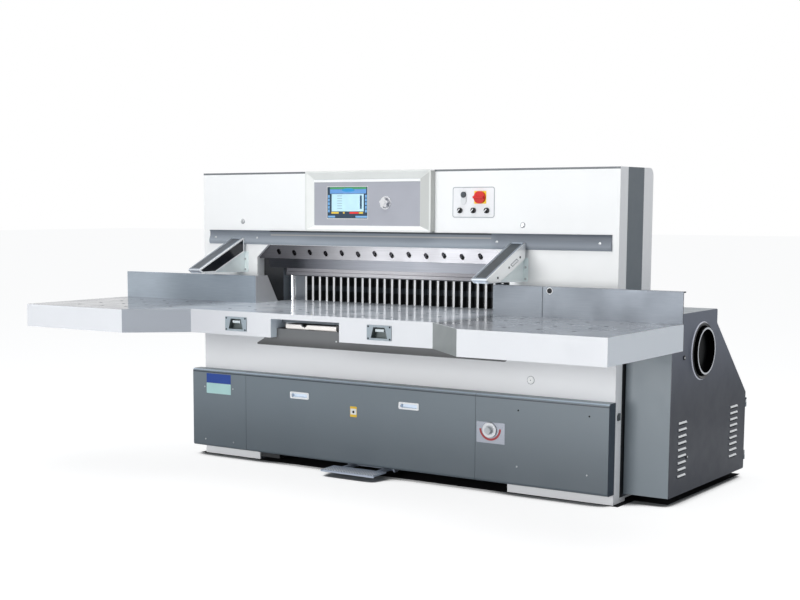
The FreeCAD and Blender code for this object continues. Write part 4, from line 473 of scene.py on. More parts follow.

# %% [markdown]
# Tints and bands
#
# One sheet often carries two paints or a dark seam, and many parts carry painted light and shade: a side,
# an end or a fold that is lighter or darker because of how light falls on it. A tint runs smoothly from one
# place to another along an axis. A band is a masked stretch with crisp edges, set by limits on the place
# and on the direction a face points in, so one material can serve the whole part.

# %% Grade and band a finish
FAR = 5.0
TOWARDS_FRONT = ("NY", -1.1, -0.5)
TOWARDS_RIGHT = ("NX", 0.5, 1.1)
FULL = (1, 1, 1, 1)


def measured(tree, what):
    """An object coordinate, or with an N before the letter a share of the surface's direction."""
    coordinates = tree.nodes.new("ShaderNodeTexCoord")
    split = tree.nodes.new("ShaderNodeSeparateXYZ")
    tree.links.new(coordinates.outputs["Normal" if what[0] == "N" else "Object"], split.inputs[0])
    return split.outputs[what[-1]]


def coloured_by(material):
    """A material's tree, its shader's colour socket and what feeds that now."""
    tree = material.node_tree
    socket = tree.nodes["Principled BSDF"].inputs["Base Color"]
    return tree, socket, socket.links[0].from_socket


def graded(material, low, high, low_tint, high_tint, axis="Z"):
    """Tint a finish from one place in millimetres to another: painted light and shade that fall unevenly on
    it.
    """
    tree, socket, plain = coloured_by(material)
    ramp = tree.nodes.new("ShaderNodeMapRange")
    ramp.interpolation_type = "SMOOTHSTEP"
    ramp.inputs["From Min"].default_value = low / 1000
    ramp.inputs["From Max"].default_value = high / 1000
    tree.links.new(measured(tree, axis), ramp.inputs["Value"])
    tint = blended(tree, ramp.outputs["Result"], low_tint, high_tint)
    tree.links.new(blended(tree, 1.0, plain, tint, "MULTIPLY"), socket)


def banded(material, colour, *limits):
    """Paint one colour where every (measure, low, high) limit holds, in metres of the object."""
    tree, socket, plain = coloured_by(material)
    mask = 1.0
    for what, low, high in limits:
        value = measured(tree, what)
        for operation, limit in (("GREATER_THAN", low), ("LESS_THAN", high)):
            mask = worked(tree, "MULTIPLY", mask, worked(tree, operation, value, limit))
    tree.links.new(blended(tree, mask, plain, colour), socket)


print("tints and bands ready")

# %% [markdown]
# White covers and the apron
#
# The large covers and the apron round the tables are powder coated. The apron's faces take the light
# differently, and the lower cover lies in the tables' shade at its top, so the apron's tints and bands and
# the lower cover's tint are painted light and shade.

# %% Paint the white parts
HEAD_EDGE = 1.592
SQUARE_FRONT = ("NY", -1.1, -0.95)
ASLANT_FRONT = ("NY", -0.95, -0.3)
SQUARE_RIGHT = ("NX", 0.9, 1.1)
white_coat = powder_coat("white_cover_coat", linear(246, 247, 247), 0.45, 0.985)
banded(white_coat, linear(112, 117, 121), ("Z", HEAD_EDGE, FAR), TOWARDS_FRONT)
lower_white = powder_coat("lower_cover_coat", linear(239, 240, 242), 0.45, 0.985)
# Painted shade: the lower cover darkens towards its top, under the tables.
graded(lower_white, 560, 800, FULL, (0.66, 0.67, 0.69, 1))
apron_coat = powder_coat("apron_coat", linear(219, 221, 225), 0.4, 0.98)
# Painted light and shade on the apron: darker towards its left end, and lighter or darker bands by the way
# each face points.
graded(apron_coat, -760, -100, (0.80, 0.80, 0.81, 1), FULL, "X")
banded(apron_coat, linear(222, 224, 228), ("X", -FAR, -0.86), SQUARE_FRONT)
banded(apron_coat, linear(160, 165, 173), ("NX", 0.3, 0.9), ASLANT_FRONT)
banded(apron_coat, linear(128, 133, 133), ("NX", -0.9, -0.3), ASLANT_FRONT)
banded(apron_coat, linear(236, 246, 255), ("X", -0.2085, -0.2045), SQUARE_RIGHT)
banded(apron_coat, linear(238, 244, 251), ("X", 1.6, FAR), SQUARE_RIGHT)
pull_coat = powder_coat("pull_coat", linear(248, 250, 252), 0.35, 0.98)
banded(pull_coat, linear(230, 241, 253), ("Y", depth(-70.5), FAR))
print("white paints", len(bpy.data.materials))

# %% [markdown]
# Blue-grey covers and the drive case
#
# The base covers, the drive case and its door are a dark blue-grey. The covers' folded top edge carries a
# painted highlight above a dark gap, and their faces that point right carry painted shade. Painted shade
# darkens the covers and the door towards the bottom, the louvres that are pressed out of the door have
# painted highlights on their hoods, and the outer part of the port's rolled ring is painted shade for the
# gap into the port.

# %% Paint the blue-grey parts
DOOR_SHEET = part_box("port_ring")[1].x - 0.009
slate_coat = powder_coat("slate_cover_coat", linear(120, 131, 139), 0.38, 0.97)
# Painted shade darkens the base covers towards the bottom.
graded(slate_coat, 60, 480, (0.62, 0.63, 0.64, 1), FULL)
banded(slate_coat, linear(54, 62, 72), ("Z", 0.4775, 0.4835))
# A painted highlight on the folded top edge, then painted shade on the faces that point right.
banded(slate_coat, linear(186, 200, 214), ("Z", 0.489, 0.4955), ("NZ", 0.2, 0.93))
banded(slate_coat, linear(58, 68, 80), TOWARDS_RIGHT)
case_coat = powder_coat("drive_case_coat", linear(128, 138, 145), 0.36, 0.96)
door_coat = powder_coat("drive_door_coat", linear(106, 112, 127), 0.34, 0.95)
# Painted shade darkens the door towards the bottom.
graded(door_coat, 400, 900, (0.14, 0.155, 0.19, 1), FULL)
# Painted highlights on the louvre hoods that stand out of the door sheet.
banded(door_coat, linear(252, 254, 255), ("X", DOOR_SHEET + 0.0008, DOOR_SHEET + 0.0055), ("Z", 0.1, 0.41))
ring_coat = powder_coat("rolled_ring_coat", linear(232, 234, 246), 0.3, 0.95)
# Painted shade on the outer part of the rolled ring, for the gap into the port.
banded(ring_coat, linear(16, 18, 22), ("X", DOOR_SHEET + 0.0042, DOOR_SHEET + 0.02))
print("door panel's face at", round(DOOR_SHEET, 4))

# %% [markdown]
# Frames, castings and trim
#
# The castings are a plain machine grey with a coarser skin. Their feet are white where they show; painted
# shade darkens the feet where they stand back between the toes, and the ways beside the opening. The trim
# channel over the opening has a dark seam and a painted highlight along its fold, and painted shade darkens
# it towards its top and its right. Painted shade also darkens the tray under the table towards its bottom.

# %% Paint the frames and the trim
FOOT = ("Z", -FAR, 0.0535)
TOE_LEFT = -0.876
TOE_RIGHT = 0.704
OPENING = ("Z", 0.9, 1.3)
tray_coat = powder_coat("tray_coat", linear(100, 102, 104), 0.5, 0.95)
# Painted shade darkens the tray towards its bottom.
graded(tray_coat, 739, 790, (0.42, 0.42, 0.42, 1), FULL)
casting_coat = powder_coat("casting_coat", linear(96, 104, 112), 0.55, 0.9, 260.0, 0.0003)
frame_coat = powder_coat("frame_coat", linear(96, 104, 112), 0.5, 0.93, 260.0, 0.0002)
# Painted shade on the ways beside the opening.
banded(frame_coat, linear(30, 32, 36), OPENING, ("X", -0.9, 0.9), TOWARDS_FRONT)
banded(frame_coat, linear(236, 238, 240), OPENING, ("X", -0.747, 0.0), TOWARDS_RIGHT)
for left, right in ((-FAR, TOE_LEFT), (TOE_RIGHT, FAR)):
    banded(frame_coat, linear(252, 253, 255), FOOT, ("X", left, right))
# Painted shade on the feet where they stand back between the toes.
banded(frame_coat, linear(40, 42, 45), FOOT, ("X", TOE_LEFT, TOE_RIGHT))
motor_coat = powder_coat("motor_coat", linear(70, 88, 112), 0.42, 0.92)
roof_coat = powder_coat("roof_coat", linear(150, 156, 160), 0.42, 0.97)
pedal_coat = powder_coat("pedal_coat", linear(184, 194, 210), 0.5, 0.92)
pin_coat = powder_coat("tread_button_coat", linear(244, 247, 251), 0.45, 0.95)
trim_coat = powder_coat("trim_coat", linear(153, 161, 170), 0.55, 0.97)
# Painted shade darkens the trim towards its top and its right, and a painted highlight runs along its fold.
graded(trim_coat, 1212, 1278, FULL, (0.52, 0.53, 0.55, 1))
graded(trim_coat, 590, 640, FULL, (0.81, 0.81, 0.82, 1), "X")
banded(trim_coat, linear(152, 152, 150), ("X", -0.788, 0.597), ("Z", 1.2575, 1.2645))
banded(trim_coat, linear(60, 64, 68), ("X", -0.791, 0.6), ("Z", 1.2765, 1.286))
print("paints", len(bpy.data.materials))

# %% [markdown]
# The striped side covers
#
# Both side covers are light grey with one dark band running up them behind the front corner. It is
# masked paint on one sheet, so a band on the object's own depth coordinate paints it with crisp edges.
# Low down, a darker band stands for the deep shade where the drive case meets the cover.

# %% Striped paint
STRIPE = ("Y", depth(87), depth(269))
striped_coat = powder_coat("striped_side_coat", linear(251, 252, 254), 0.4, 0.98)
banded(striped_coat, linear(100, 110, 118), STRIPE)
banded(striped_coat, linear(36, 39, 42), ("Y", depth(70), depth(108)), ("Z", 0.0, 0.86))
print("stripe from", round(STRIPE[1], 3), "to", round(STRIPE[2], 3))

# %% [markdown]
# Tables and guides
#
# The tables are ground and lacquered, so at this low angle they mirror the comb and the guides over their
# own grey. Painted shade makes the side tables darker than the middle one, as they look from the camera's
# place. The side guides look like satin anodised plate; painted light brightens the left one towards its
# outer end and on its return that faces right, and painted shade darkens the right one towards its outer
# end.

# %% Table and guide metal
table_steel = brushed(
    "polished_table", linear(222, 228, 236), 0.13, (3.0, 40.0, 1.0), 9.0, 0.98, 0.00000003, 0.05
)
dulled(table_steel, 0.22)
# Painted shade darkens the side tables.
graded(table_steel, -1000, -700, (0.3, 0.3, 0.31, 1), FULL, "X")
graded(table_steel, 640, 800, FULL, (0.5, 0.5, 0.5, 1), "X")
GUIDE_GRAIN = (0.42, (2.0, 2.0, 30.0), 8.0, 0.93, 0.00001)
left_guide_metal = brushed("left_guide_plate", linear(146, 156, 166), *GUIDE_GRAIN)
# Painted light brightens the left guide towards its outer end and on its return that faces right.
graded(left_guide_metal, -1560, -1180, (1.7, 1.66, 1.62, 1), FULL, "X")
banded(left_guide_metal, linear(222, 223, 225), TOWARDS_RIGHT)
right_guide_metal = brushed("right_guide_plate", linear(107, 112, 118), *GUIDE_GRAIN)
# Painted shade darkens the right guide towards its outer end.
graded(right_guide_metal, 900, 1500, FULL, (0.84, 0.84, 0.85, 1), "X")
banded(right_guide_metal, linear(50, 54, 58), ("X", 0.989, 0.992))
print("materials", len(bpy.data.materials))

# %% [markdown]
# Knife, clamp and comb
#
# The knife carrier and the clamp are ground lengthwise and show long soft streaks. Both lie deep in the
# opening, so painted shade darkens them towards its ends. The comb of the back gauge is black, partly as
# painted shade for the narrow gaps between its teeth, with bright tooth fronts.

# %% Metal in the opening
knife_steel = brushed(
    "ground_knife_steel", linear(215, 215, 220), 0.32, (0.6, 20.0, 70.0), 7.0, 0.82, 0.00002
)
# Painted shade darkens the knife steel towards both ends of the opening.
graded(knife_steel, -760, 0, (0.18, 0.18, 0.19, 1), FULL, "X")
graded(knife_steel, 100, 650, FULL, (0.72, 0.72, 0.73, 1), "X")
clamp_steel = brushed("brushed_clamp_steel", linear(188, 187, 191), 0.4, (0.5, 20.0, 90.0), 6.0, 0.65)
# Painted shade darkens the clamp towards both ends of the opening.
graded(clamp_steel, -760, -200, (0.4, 0.4, 0.42, 1), FULL, "X")
graded(clamp_steel, -50, 500, FULL, (0.4, 0.4, 0.41, 1), "X")
# The comb's black is partly painted shade for the gaps between its teeth.
gauge_coat = powder_coat("comb_coat", linear(30, 32, 35), 0.4, 0.9)
banded(gauge_coat, linear(70, 76, 82), ("Z", 0.955, 0.985))
banded(gauge_coat, linear(240, 240, 240), ("Y", -FAR, depth(123.5)))
blackened = brushed("blackened_steel", linear(34, 35, 38), 0.4, (8.0, 8.0, 8.0), 12.0, 0.8, 0.00001)
print("materials", len(bpy.data.materials))

# %% [markdown]
# Arms, brackets and the drive
#
# The light curtain arms are satin aluminium on bright zinc brackets, with painted shade on their sloping
# faces and a painted highlight on the faces that point right. The flywheel and the motor pulley are turned
# iron; the drum that shows in the port is painted black as the shade inside the case, and the belts are
# rubber.

# %% Metal of the arms and the drive
arm_metal = brushed(
    "satin_arm_metal", linear(226, 232, 240), 0.3, (1.0, 30.0, 30.0), 8.0, 0.94, 0.00001, 0.7
)
# Painted shade on the sloping faces and a painted highlight on the faces that point right.
banded(arm_metal, linear(138, 147, 158), ("NZ", 0.5, 0.97), ("NY", -0.8, -0.2))
banded(arm_metal, linear(254, 255, 255), ("NX", 0.6, 1.1))
bracket_zinc = brushed(
    "zinc_bracket", linear(246, 255, 255), 0.5, (4.0, 4.0, 4.0), 8.0, 0.99, 0.000004, 0.2
)
chrome = brushed("bright_chrome", linear(238, 239, 242), 0.08, (10.0, 10.0, 10.0), 12.0, 0.95, 0.000002)
machined = brushed("machined_iron", linear(92, 94, 98), 0.35, (60.0, 2.0, 2.0), 9.0, 0.8, 0.00002)
# Painted shade: the drum that shows in the port is black.
banded(machined, linear(10, 11, 13), ("X", 1.42, 1.56))
belt_rubber = moulded("belt_rubber", linear(26, 26, 28), 0.7)
print("materials", len(bpy.data.materials))

# %% [markdown]
# Plastics
#
# The display surround is a warm light grey moulding with a painted highlight on the faces that point up and
# painted shade on its side faces. The buttons and selectors are black, the main switch is glossy red. The
# cutting stick is the usual soft plastic bar.

# %% Plastics
surround_plastic = moulded("surround_plastic", linear(228, 230, 227), 0.4)
# Painted highlight on the faces that point up, painted shade on the side faces.
banded(surround_plastic, linear(248, 249, 249), ("NZ", 0.25, 0.97))
banded(surround_plastic, linear(200, 202, 199), ("NX", -0.95, -0.2))
banded(surround_plastic, linear(196, 198, 194), ("NX", 0.35, 1.1), ("NZ", -0.5, 0.24))
black_plastic = moulded("black_plastic", linear(24, 25, 28), 0.35)
red_plastic = moulded("red_switch_plastic", linear(214, 28, 24), 0.25)
stick_plastic = moulded("cutting_stick_plastic", linear(122, 126, 132), 0.4)
plate_plastic = moulded("control_plate_foil", linear(240, 241, 243), 0.3)
glass_black = moulded("dark_acrylic", linear(22, 26, 32), 0.12)
housing_grey = powder_coat("button_plate_coat", linear(148, 160, 168), 0.4, 0.95)
banded(housing_grey, linear(92, 102, 103), ("Y", depth(-751), FAR))
silver_knob = moulded("silver_knob", linear(200, 204, 208), 0.25)
button_grey = moulded("cut_button_plastic", linear(206, 216, 220), 0.3)
drawer_metal = brushed(
    "drawer_lip_metal", linear(232, 228, 224), 0.4, (1.0, 20.0, 20.0), 8.0, 0.95, 0.00003, 0.5
)
print("plastics done")

# %% [markdown]
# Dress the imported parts
#
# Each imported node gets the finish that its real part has. The list pairs every finish with the parts that
# wear it, and what is left bare is printed, so nothing keeps a flat colour unseen.

# %% Put the finishes on the parts
wears = {
    white_coat: "upper_front_cover",
    lower_white: "lower_front_cover",
    roof_coat: "head_rear_cover rear_base_cover",
    striped_coat: "side_covers",
    apron_coat: "table_fascia",
    slate_coat: "left_base_cover middle_base_cover right_base_cover",
    case_coat: "drive_housing",
    door_coat: "housing_door",
    tray_coat: "under_table_cover",
    frame_coat: "left_side_frame right_side_frame",
    casting_coat: "table_bed head_beam gauge_carriage",
    motor_coat: "main_motor worm_gearbox hydraulic_unit clamp_cylinder",
    pedal_coat: "foot_pedal pedal_bracket",
    bracket_zinc: "arm_brackets",
    table_steel: "front_table_top rear_table_top",
    knife_steel: "knife_beam knife_blade pull_rod lead_screw",
    clamp_steel: "clamp_beam",
    chrome: "clamp_rods jog_knob",
    trim_coat: "trim_band",
    left_guide_metal: "left_guide",
    right_guide_metal: "right_guide",
    arm_metal: "light_arms",
    machined: "flywheel motor_pulley",
    blackened: "knife_bolts",
    ring_coat: "port_ring",
    gauge_coat: "back_gauge",
    belt_rubber: "drive_belts",
    surround_plastic: "display_bezel",
    black_plastic: "selector_left selector_middle selector_right upper_latch lower_latch gauge_motor",
    red_plastic: "main_switch",
    stick_plastic: "cutting_stick",
    plate_plastic: "control_plate",
    glass_black: "touch_screen",
    housing_grey: "button_housings",
    button_grey: "left_cut_button right_cut_button",
    drawer_metal: "tool_drawer",
    silver_knob: "pressure_knob",
}
dressed = set()
for finish, names in wears.items():
    for name in names.split():
        for material_slot in nodes[name].material_slots:
            material_slot.material = finish
        dressed.add(name)
nodes["cover_pulls"].material_slots[0].material = pull_coat
dressed.add("cover_pulls")
print("bare nodes", sorted(set(nodes) - dressed))

# %% [markdown]
# Cut sheets
#
# Skins, plates and marks are thin sheets with rounded corners, some with openings. Their outlines are
# lists of points in a drawing's millimetres. Two shapes repeat, the rounded rectangle and the circle.

# %% Outlines


def rounded(u0, u1, v0, v1, radius, steps=5):
    """The corner points of a rounded rectangle, in millimetres."""
    points = []
    corners = ((u1 - radius, v0 + radius, -90), (u1 - radius, v1 - radius, 0))
    corners += ((u0 + radius, v1 - radius, 90), (u0 + radius, v0 + radius, 180))
    for u, v, start in corners:
        for i in range(steps + 1):
            angle = math.radians(start + 90 * i / steps)
            points.append((u + radius * math.cos(angle), v + radius * math.sin(angle)))
    return points


def circle(u, v, radius, steps=32):
    """The points of a circle, in millimetres."""
    angles = [math.tau * i / steps for i in range(steps)]
    return [(u + radius * math.cos(angle), v + radius * math.sin(angle)) for angle in angles]


print("corner points", len(rounded(0, 1, 0, 1, 0.1)))

# %% [markdown]
# From an outline to a plate
#
# A filled two dimensional curve makes a plate well: it takes holes, gives a small bevel that catches
# light along the edge, and becomes a plain mesh before it is laid in its place.

# %% Cut a plate


def cut_sheet(name, outlines, thick, place, finish, body="machine", edge=0.0):
    """A plate cut to its outlines, with its back on the place's plane, riding on a body."""
    curve = bpy.data.curves.new(name, "CURVE")
    curve.dimensions = "2D"
    curve.fill_mode = "BOTH"
    curve.extrude = (thick / 2 - edge) / 1000
    curve.bevel_depth = edge / 1000
    curve.bevel_resolution = 1
    for outline in outlines:
        spline = curve.splines.new("POLY")
        spline.points.add(len(outline) - 1)
        for point, (u, v) in zip(spline.points, outline):
            point.co = (u / 1000, v / 1000, 0, 1)
        spline.use_cyclic_u = True
    carrier = bpy.data.objects.new(name + "_curve", curve)
    scene.collection.objects.link(carrier)
    bpy.context.view_layer.update()
    graph = bpy.context.evaluated_depsgraph_get()
    mesh = bpy.data.meshes.new_from_object(carrier.evaluated_get(graph))
    bpy.data.objects.remove(carrier)
    mesh.transform(place @ Matrix.Translation((0, 0, thick / 2000)))
    mesh.name = name
    mesh.materials.clear()
    mesh.materials.append(finish)
    piece = bpy.data.objects.new(name, mesh)
    scene.collection.objects.link(piece)
    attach(piece, body)


print("cut_sheet ready")

# %% [markdown]
# The display's skin
#
# A lilac-grey skin lies in the bottom of the surround, with openings for the screen and the jog knob.
# It is one cut sheet, since its edges are plain.

# %% The skin
PANEL_FACE = -26.0
PANEL = on_front(PANEL_FACE)
JOG_CENTRE = (-16, 1435)
panel_skin = moulded("display_skin", linear(170, 172, 181), 0.42)
outline_foil = moulded("plate_outline_foil", linear(158, 162, 168), 0.4)
skin_outlines = [rounded(-474, 194, 1317, 1559, 3), rounded(-391, -127, 1351, 1522, 3)]
cut_sheet("display_skin", skin_outlines + [circle(*JOG_CENTRE, 13)], 0.28, PANEL, panel_skin)
print("skin outlines", len(skin_outlines) + 1)

# %% [markdown]
# The lit page
#
# The screen shows a plain job page: a dark blue surround, a green bar, a pale page with grey entry
# fields and a row of coloured keys. Thin tiles make it, each with a little light of its own as a lit
# panel has, and each laid a hair before the one behind it.

# %% Tiles of the page


def lit(name, colour, strength):
    """A tile of the lit display page."""
    material, tree, shader = fresh(name, 0.35)
    tones = placed_group(tree, shading, Scale=20.0)["Value"]
    tree.links.new(toned(tree, shader, tones, colour, 0.92), shader.inputs["Emission Color"])
    shader.inputs["Emission Strength"].default_value = strength
    return material


page_tiles = (
    ("screen_surround", (-390.6, -127.4, 1351.4, 1521.6), (34, 58, 78), 0.10),
    ("screen_top_bar", (-371, -138, 1508, 1517), (70, 150, 96), 0.20),
    ("screen_header", (-371, -138, 1484, 1507), (96, 148, 206), 0.20),
    ("screen_page", (-360, -154, 1391, 1482), (186, 222, 234), 0.22),
    ("screen_side_bar", (-178, -166, 1404, 1474), (50, 96, 140), 0.15),
    ("screen_yellow_keys", (-362, -314, 1379, 1388), (222, 190, 70), 0.2),
    ("screen_small_key", (-286, -276, 1379, 1388), (222, 190, 70), 0.2),
    ("screen_red_key", (-244, -186, 1379, 1388), (226, 44, 40), 0.2),
    ("screen_last_keys", (-184, -158, 1379, 1388), (222, 190, 70), 0.2),
    ("screen_foot_left", (-384, -338, 1358, 1368), (120, 170, 214), 0.2),
    ("screen_foot_right", (-206, -132, 1358, 1368), (120, 170, 214), 0.2),
)
for layer, (name, sides, colour, strength) in enumerate(page_tiles):
    face = PANEL_FACE + 0.5 - 0.04 * (layer > 0)
    tile_coat = lit(name, linear(*colour), strength)
    cut_sheet(name, [rounded(*sides, 1, 2)], 0.03, on_front(face), tile_coat)
print("page tiles", len(page_tiles))

# %% [markdown]
# Badge, keys and fields
#
# An oval badge lies at the top of the page, a column of small keys stands at either side of it, and grey
# entry fields run down it. Keys and fields repeat at an even pitch, so loops lay them out.

# %% Small marks of the page
MARK_FACE = on_front(PANEL_FACE + 0.4)
KEY_ROWS = 5
FIELD_ROWS = 6
badge = [(-253 + 42 * u, 1502 + 9 * v) for u, v in circle(0, 0, 1, 24)]
cut_sheet("screen_badge", [badge], 0.02, MARK_FACE, lit("screen_badge", linear(40, 140, 200), 0.2))
key_coat = lit("screen_key", linear(110, 166, 216), 0.2)
for row in range(KEY_ROWS):
    v = 1386 + row * 19
    for side, u in (("left", -384), ("right", -145)):
        name = "screen_key_%s_%d" % (side, row)
        cut_sheet(name, [rounded(u, u + 11, v, v + 15, 1, 2)], 0.02, MARK_FACE, key_coat)
field_coat = lit("screen_field", linear(150, 182, 196), 0.2)
for row in range(FIELD_ROWS):
    v = 1474 - row * 13
    cut_sheet("screen_field_%d" % row, [rounded(-324, -292, v - 4, v, 1, 2)], 0.02, MARK_FACE, field_coat)
print("keys", 2 * KEY_ROWS, "fields", FIELD_ROWS)

# %% [markdown]
# The display's lip
#
# A white lip runs along the top of the skin, above a thin grey line; its near-white colour is partly a
# painted highlight. A plate with a wide bevel makes the lip, so that it catches the light along its whole
# length.

# %% Lip and line
# The lip's near-white is partly a painted highlight.
lip_plastic = moulded("display_lip_plastic", linear(254, 255, 255), 0.3)
lip_line = [rounded(-474, 194, 1541.5, 1544.5, 1)]
cut_sheet("display_lip", [rounded(-474, 194, 1545, 1556.5, 1)], 3.0, PANEL, lip_plastic, edge=1.2)
cut_sheet("display_lip_line", lip_line, 0.5, on_front(PANEL_FACE - 0.4), outline_foil)
print("lip done")

# %% [markdown]
# The control plate
#
# The main switch stands on a yellow square, and a thin grey line frames its plate. Beside the switch
# sits a pale capsule with a dark cap. All of them are thin plates on the white cover.

# %% Switch square, outline and capsule
COVER = on_front(-2.0)
yellow_foil = moulded("yellow_switch_foil", linear(250, 210, 30), 0.35)
cut_sheet("switch_square", [rounded(495.5, 564.5, 1430.5, 1493.5, 3)], 0.2, COVER, yellow_foil)
plate_frame = [rounded(371.5, 611.5, 1361.5, 1513.5, 12.5), rounded(375.3, 607.7, 1365.3, 1509.7, 9)]
cut_sheet("control_plate_outline", plate_frame, 0.1, COVER, outline_foil)
capsule_white = moulded("capsule_plastic", linear(226, 228, 230), 0.25)
capsule_dark = moulded("capsule_cap", linear(62, 70, 76), 0.3)
cut_sheet("capsule_body", [rounded(422, 450, 1429, 1470, 13.5)], 5.0, COVER, capsule_white, edge=1.5)
cut_sheet("capsule_cap", [rounded(424, 448, 1462, 1488, 11.5)], 9.0, COVER, capsule_dark, edge=2.0)
print("control plate done")

# %% [markdown]
# The pressure plate
#
# Round the pressure knob lies a silvery plate that carries a red arc along its scale. The arc is one
# outline that goes out on the larger radius and comes back on the smaller one.

# %% Plate, arc and ring of the pressure knob
BASE = on_front(-72.0)
BASE_MARKS = on_front(-73.0)
silver_foil = brushed("silver_plate", linear(146, 150, 159), 0.4, (1.0, 1.0, 40.0), 9.0, 0.95)
silver_ring = brushed(
    "silver_ring", linear(216, 218, 221), 0.3, (10.0, 10.0, 10.0), 9.0, 0.95, 0.00001, 0.5
)
plate_outlines = [rounded(566, 725, 250, 355, 3), circle(641, 316, 20.3)]
cut_sheet("pressure_plate", plate_outlines, 1.0, BASE, silver_foil, edge=0.2)
arc_red = moulded("scale_red", linear(168, 52, 56), 0.4)
ARC_CENTRE = (643, 324)
ARC_TURNS = [math.radians(-8 * i) for i in range(23)]
arc = []
for radius, turns in ((61.5, ARC_TURNS), (50.5, ARC_TURNS[::-1])):
    arc += [(ARC_CENTRE[0] + radius * math.cos(a), ARC_CENTRE[1] + radius * math.sin(a)) for a in turns]
cut_sheet("pressure_scale", [arc], 0.15, BASE_MARKS, arc_red)
ring_outlines = [circle(641, 316, 37), circle(641, 316, 24)]
cut_sheet("pressure_ring", ring_outlines, 8.0, BASE_MARKS, silver_ring, edge=2.5)
print("arc points", len(arc))

# %% [markdown]
# Plates on the base covers
#
# A blue and green plate lies on the left cover, and a small amber one with a key switch on the middle
# cover, which it rides on. A chrome ring lies round the jog knob.

# %% Bare plates, key switch and jog ring
blue_foil = moulded("bare_plate_blue", linear(36, 74, 160), 0.35)
green_foil = moulded("bare_plate_green", linear(184, 224, 222), 0.35)
for name, v0, v1, foil in (("upper", 420, 473, blue_foil), ("lower", 360, 419, green_foil)):
    cut_sheet("bare_plate_" + name, [rounded(-1206, -1028, v0, v1, 2)], 0.8, BASE, foil, edge=0.2)
amber = moulded("lock_plate_foil", linear(238, 196, 52), 0.35)
cut_sheet("lock_plate", [rounded(-205, -163, 309, 365, 3)], 0.8, BASE, amber, "base_cover", 0.2)
pale_foil = moulded("lock_plate_middle", linear(236, 236, 234), 0.35)
pale_outline = rounded(-203, -165, 322, 353, 2)
cut_sheet("lock_middle", [pale_outline], 0.3, on_front(-72.8), pale_foil, "base_cover")
cut_sheet("lock_face", [circle(-184, 336, 6.5)], 1.2, on_front(-73.1), blackened, "base_cover", 0.3)
cut_sheet("jog_ring", [circle(*JOG_CENTRE, 33), circle(*JOG_CENTRE, 28)], 4.0, PANEL, chrome, edge=1.0)
print("plates done")

# %% [markdown]
# Pointers and latch highlights
#
# Each selector has a white pointer let into its grip, set aslant. Each latch of the drive door shows a
# painted highlight, a bright dot in its middle, and the drum behind the port a bright turned edge. They
# ride on the piece that carries them, so they turn with it.

# %% Pointers, latch highlights and the drum's edge
pointer_white = moulded("pointer_plastic", linear(236, 238, 240), 0.35)
for side, x in (("left", 416), ("middle", 493), ("right", 569)):
    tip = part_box("selector_" + side)[0].y * 1000 + COVER_FACE
    bar = [(x + 6.6, 1406.7), (x + 9.7, 1403.6), (x - 6.6, 1387.3), (x - 9.7, 1390.4)]
    cut_sheet("pointer_" + side, [bar], 0.3, on_front(tip), pointer_white, "dial_" + side)
for name, body, y, z in (("upper_latch", "latch_up", 242, 703), ("lower_latch", "latch_low", 309, 217)):
    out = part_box(name)[1].x * 1000
    # A bright dot on each latch: a painted highlight.
    cut_sheet(name + "_pin", [circle(y, z, 5, 16)], 0.6, on_right(out), pointer_white, body)
drum_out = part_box("flywheel")[1].x * 1000
drum_edge = moulded("drum_edge", linear(238, 240, 244), 0.3)
drum_outlines = [circle(473, 718, 115.5), circle(473, 718, 107)]
cut_sheet("drum_edge", drum_outlines, 0.5, on_right(drum_out), drum_edge, "wheel")
print("drum face at", round(drum_out, 1))

# %% [markdown]
# Windows of the light arms
#
# Each arm of the light curtain is an aluminium profile. Its inner cheek has a long black window through
# which the light grid looks, inside a bright rim. The right arm's window is the left one's mirror image,
# so it is laid on a place that faces the other way with its outline turned round.

# %% Cut the windows
window = [(-24.5, 1232.8), (-24.5, 1170), (-266.9, 1067.5), (-369.1, 1067.5), (-382.4, 1076.3)]
rim = [(-16.5, 1244), (-16.5, 1164.8), (-265.2, 1059.8), (-371.4, 1059.8), (-397.5, 1077.5)]
rim_white = brushed(
    "window_rim_metal", linear(254, 255, 255), 0.3, (6.0, 6.0, 6.0), 9.0, 0.99, 0.000002, 0.0
)
cut_sheet("left_window_rim", [rim, window], 0.6, on_right(-969), rim_white)
cut_sheet("left_window", [window], 1.6, on_right(-972), glass_black, edge=0.2)
mirrored_rim, mirrored_window = [[(-u, v) for u, v in outline] for outline in (rim, window)]
cut_sheet("right_window_rim", [mirrored_rim, mirrored_window], 0.6, on_left(712), rim_white)
cut_sheet("right_window", [mirrored_window], 1.6, on_left(715), glass_black, edge=0.2)
print("window corners", len(window))

# %% [markdown]
# Cover strips of the arms
#
# The sloping front of each arm carries a dark cover strip let in between two bright edges; the right strip
# is painted darker as painted shade. It is a flat sheet laid along the slope, so a place matrix turns the
# sheet's own up direction along it. The slot in the right arm's cheek and the bright lining at the
# opening's left end are thin plates too.

# %% Strips and slots
SLOPE_RISE = 1247.5 - 1078
SLOPE_RUN = 402 - 15
SLOPE = math.atan2(SLOPE_RISE, SLOPE_RUN)


def on_slope(x):
    """Plates let into the sloping side of an arm: up runs along the slope."""
    turn = Matrix.Rotation(SLOPE, 4, "X")
    return Matrix.Translation(at(x, -402, 1078)) @ turn @ Matrix.Translation((0, 0, -0.0025))


strip_outline = rounded(-27, 27, 21, math.hypot(SLOPE_RISE, SLOPE_RUN) - 21, 3)
strip_grey = powder_coat("left_arm_strip", linear(70, 77, 85), 0.45, 0.93)
